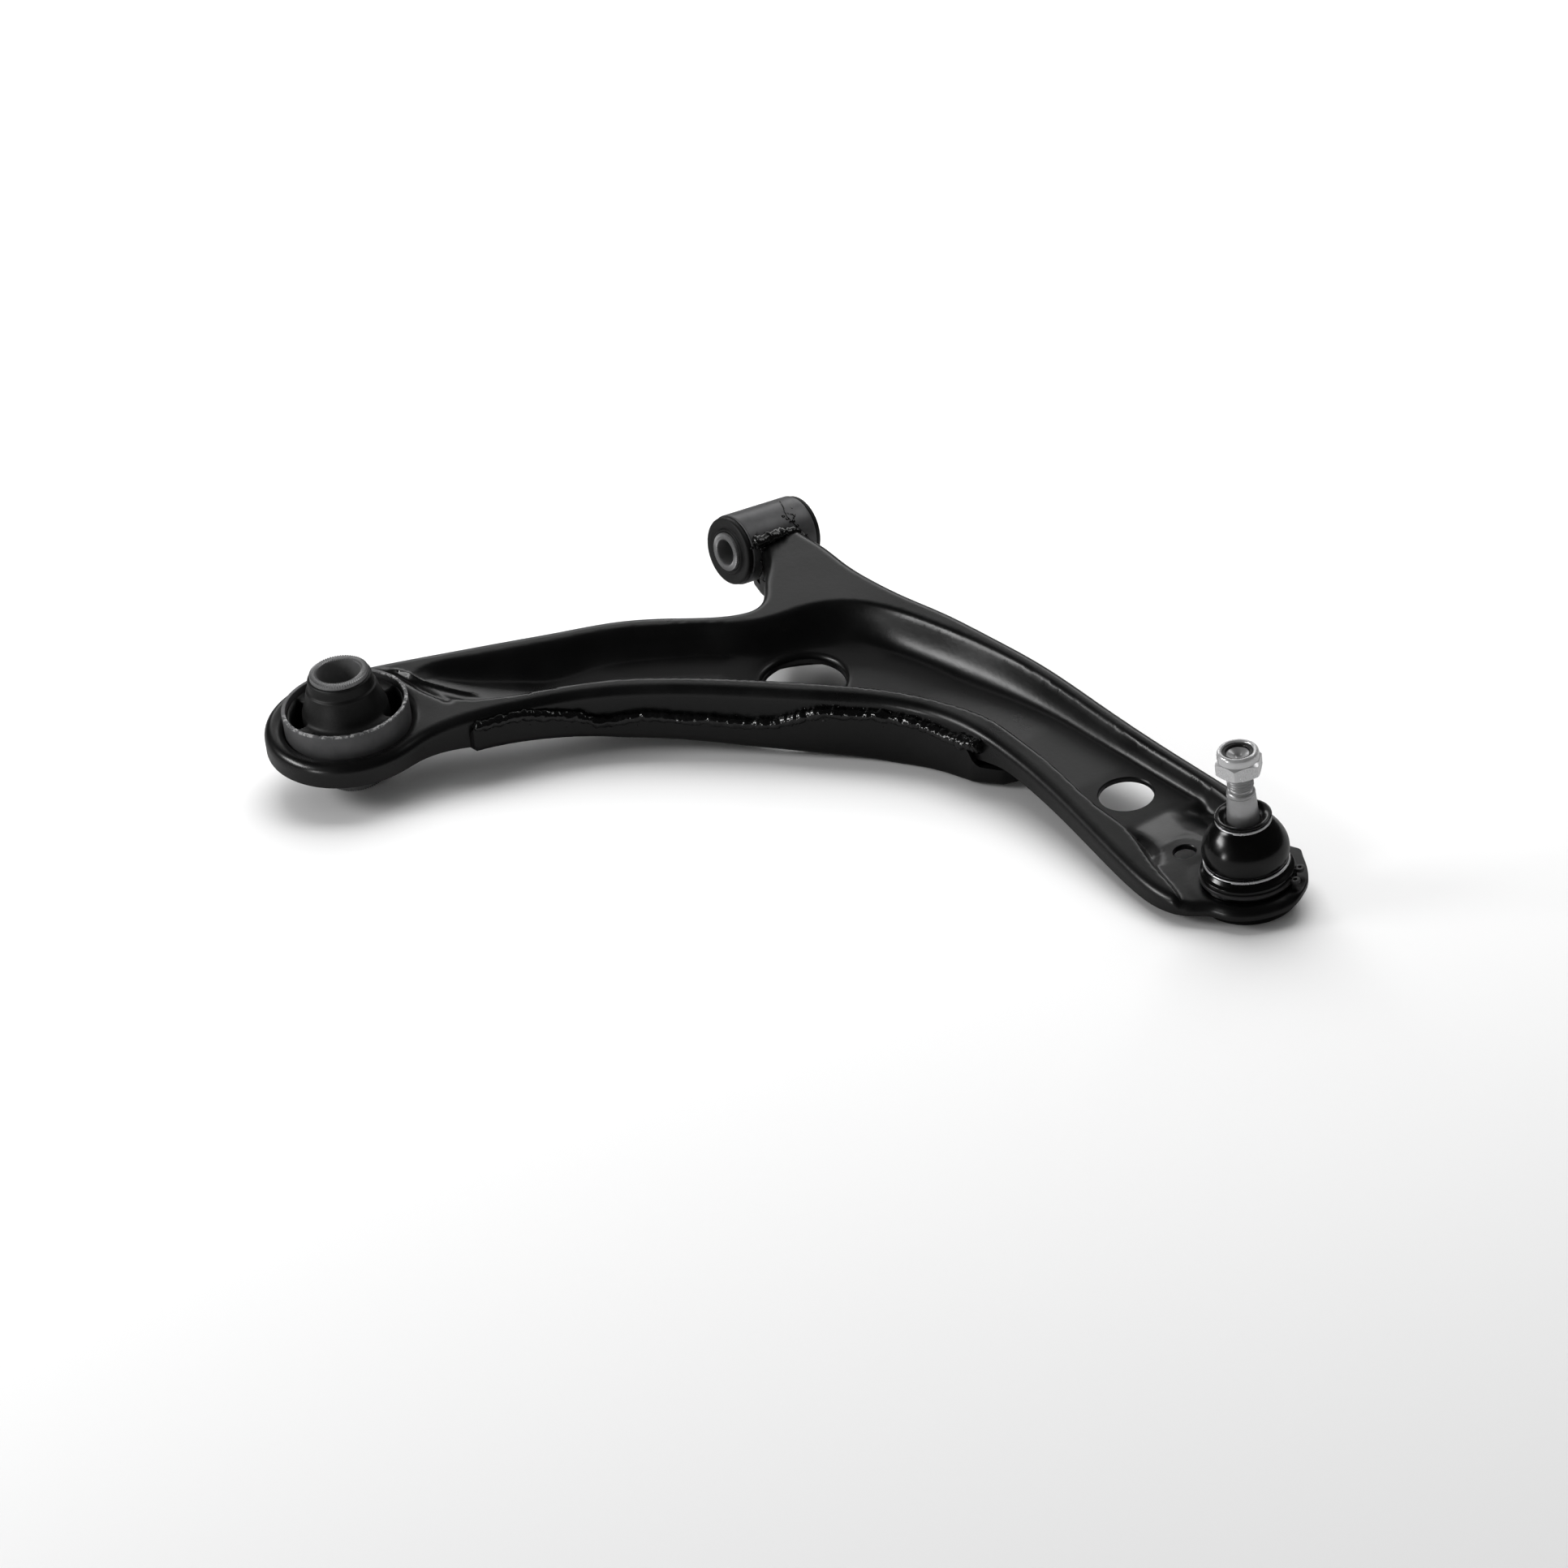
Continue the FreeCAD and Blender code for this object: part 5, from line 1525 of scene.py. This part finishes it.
# lowest supporting plane through one point of each group
n0 = np.array([-0.0687, 0.1173, 0.991])
for _it in range(60):
    n0 = n0 / np.linalg.norm(n0)
    A_ = ballp[np.argmin(ballp @ n0)]
    B_ = ringp[np.argmin(ringp @ n0)]
    C_ = trayp[np.argmin(trayp @ n0)]
    n1 = np.cross(A_ - B_, C_ - B_)
    n1 /= np.linalg.norm(n1)
    if n1[2] < 0:
        n1 = -n1
    if np.linalg.norm(n1 - n0) < 1e-6:
        break
    n0 = n0 * 0.5 + n1 * 0.5
nf = n0 / np.linalg.norm(n0)
of = min((ballp @ nf).min(), (ringp @ nf).min(), (trayp @ nf).min())
print("floor", nf, of)
fl = bpy.data.meshes.new("floor")
bm = bmesh.new()
bmesh.ops.create_grid(bm, x_segments=8, y_segments=8, size=6.0)
bm.to_mesh(fl)
bm.free()
floor = bpy.data.objects.new("floor", fl)
bpy.context.scene.collection.objects.link(floor)
qf = Vector((0, 0, 1)).rotation_difference(Vector(nf))
floor.rotation_mode = "QUATERNION"
floor.rotation_quaternion = qf
floor.location = Vector(nf) * (of * MM) + Vector((0.15, -0.1, 0)) - Vector(nf) * Vector(nf).dot(Vector((0.15, -0.1, 0)))
fm, fnt, fb = new_mat("pale_floor")
flp = N(fnt, "ShaderNodeLightPath")
# painted shade: the floor is 0.86 pale grey to the camera and to diffuse light but a dark 0.30 grey in glossy rays, so
# its reflection in the arm is painted dimmer
fnt.links.new(mixc(fnt, flp.outputs["Is Glossy Ray"], (0.86, 0.86, 0.86), (0.30, 0.30, 0.30)), fb.inputs["Base Color"])
fb.inputs["Roughness"].default_value = 0.9
fb.inputs["Specular IOR Level"].default_value = 0.0
floor.data.materials.append(fm)

scene = bpy.context.scene
scene.view_settings.view_transform = "Standard"
scene.view_settings.look = "None"
world = bpy.data.worlds.new("studio")
scene.world = world
world.use_nodes = True
wn = world.node_tree
wn.nodes.clear()
wo = wn.nodes.new("ShaderNodeOutputWorld")
bg1 = wn.nodes.new("ShaderNodeBackground")
bg2 = wn.nodes.new("ShaderNodeBackground")
bg3 = wn.nodes.new("ShaderNodeBackground")
mx = wn.nodes.new("ShaderNodeMixShader")
mx2 = wn.nodes.new("ShaderNodeMixShader")
lp = wn.nodes.new("ShaderNodeLightPath")
bg1.inputs[0].default_value = (1, 1, 1, 1)
bg1.inputs[1].default_value = 0.03
bg2.inputs[0].default_value = (1, 1, 1, 1)
bg2.inputs[1].default_value = 1.0
bg3.inputs[0].default_value = (1, 1, 1, 1)
bg3.inputs[1].default_value = 0.26
wn.links.new(lp.outputs["Is Diffuse Ray"], mx2.inputs[0])
wn.links.new(bg1.outputs[0], mx2.inputs[1])
wn.links.new(bg3.outputs[0], mx2.inputs[2])
wn.links.new(lp.outputs["Is Camera Ray"], mx.inputs[0])
wn.links.new(mx2.outputs[0], mx.inputs[1])
wn.links.new(bg2.outputs[0], mx.inputs[2])
wn.links.new(mx.outputs[0], wo.inputs[0])


def area(name, direction, dist, size, radiance, target=(0.17, -0.09, 0.0), size_y=None, glossy=True, diffuse=True):
    """Rectangular soft light given by its radiance, turned to face the target."""
    L = bpy.data.lights.new(name, "AREA")
    L.shape = "RECTANGLE"
    L.size = size
    L.size_y = size_y or size
    L.energy = radiance * math.pi * L.size * L.size_y
    o = bpy.data.objects.new(name, L)
    scene.collection.objects.link(o)
    d = Vector(direction).normalized()
    o.location = Vector(target) + d * dist
    o.rotation_mode = "QUATERNION"
    o.rotation_quaternion = d.to_track_quat("Z", "Y")
    o.visible_glossy = glossy
    o.visible_diffuse = diffuse
    return o


area("overhead_fill", (-0.50, 0.42, 0.76), 1.6, 1.7, 3.5, glossy=False)
area("back_softbox", (-0.65, 0.46, 0.61), 1.5, 1.9, 0.25, target=(0.20, -0.08, 0.0), size_y=0.90)
area("back_low", (-0.78, 0.49, 0.36), 1.5, 1.8, 2.5, target=(0.24, -0.06, 0.0), size_y=0.28)
area("left_strip", (-0.42, -0.76, 0.49), 1.3, 0.54, 15.0, size_y=0.24)
area("top_glint", (0.05, 0.70, 0.71), 1.5, 0.7, 2.6, size_y=0.26)
area("front_kick", (0.05, -1.0, 0.20), 1.2, 0.10, 22.0, size_y=0.2)

cam = bpy.data.cameras.new("camera")
cam_o = bpy.data.objects.new("camera", cam)
scene.collection.objects.link(cam_o)
az, el, rl = math.radians(59.19), math.radians(33.23), math.radians(7.76)
back = np.array([math.sin(az) * math.cos(el), -math.cos(az) * math.cos(el), math.sin(el)])
right = np.array([math.cos(az), math.sin(az), 0])
up = np.cross(back, right)
cpos = (np.array([182.25, -116.05, 0.0]) + back * 2560.53) * MM
cr, sr = math.cos(rl), math.sin(rl)
R2 = cr * right - sr * up
U2 = sr * right + cr * up
mw = Matrix.Identity(4)
for i in range(3):
    mw[i][0], mw[i][1], mw[i][2], mw[i][3] = R2[i], U2[i], back[i], cpos[i]
cam_o.matrix_world = mw
cam.sensor_width = 36
cam.lens = 36 * 6972.83 / 1932
cam.clip_start, cam.clip_end = 0.1, 60
scene.camera = cam_o
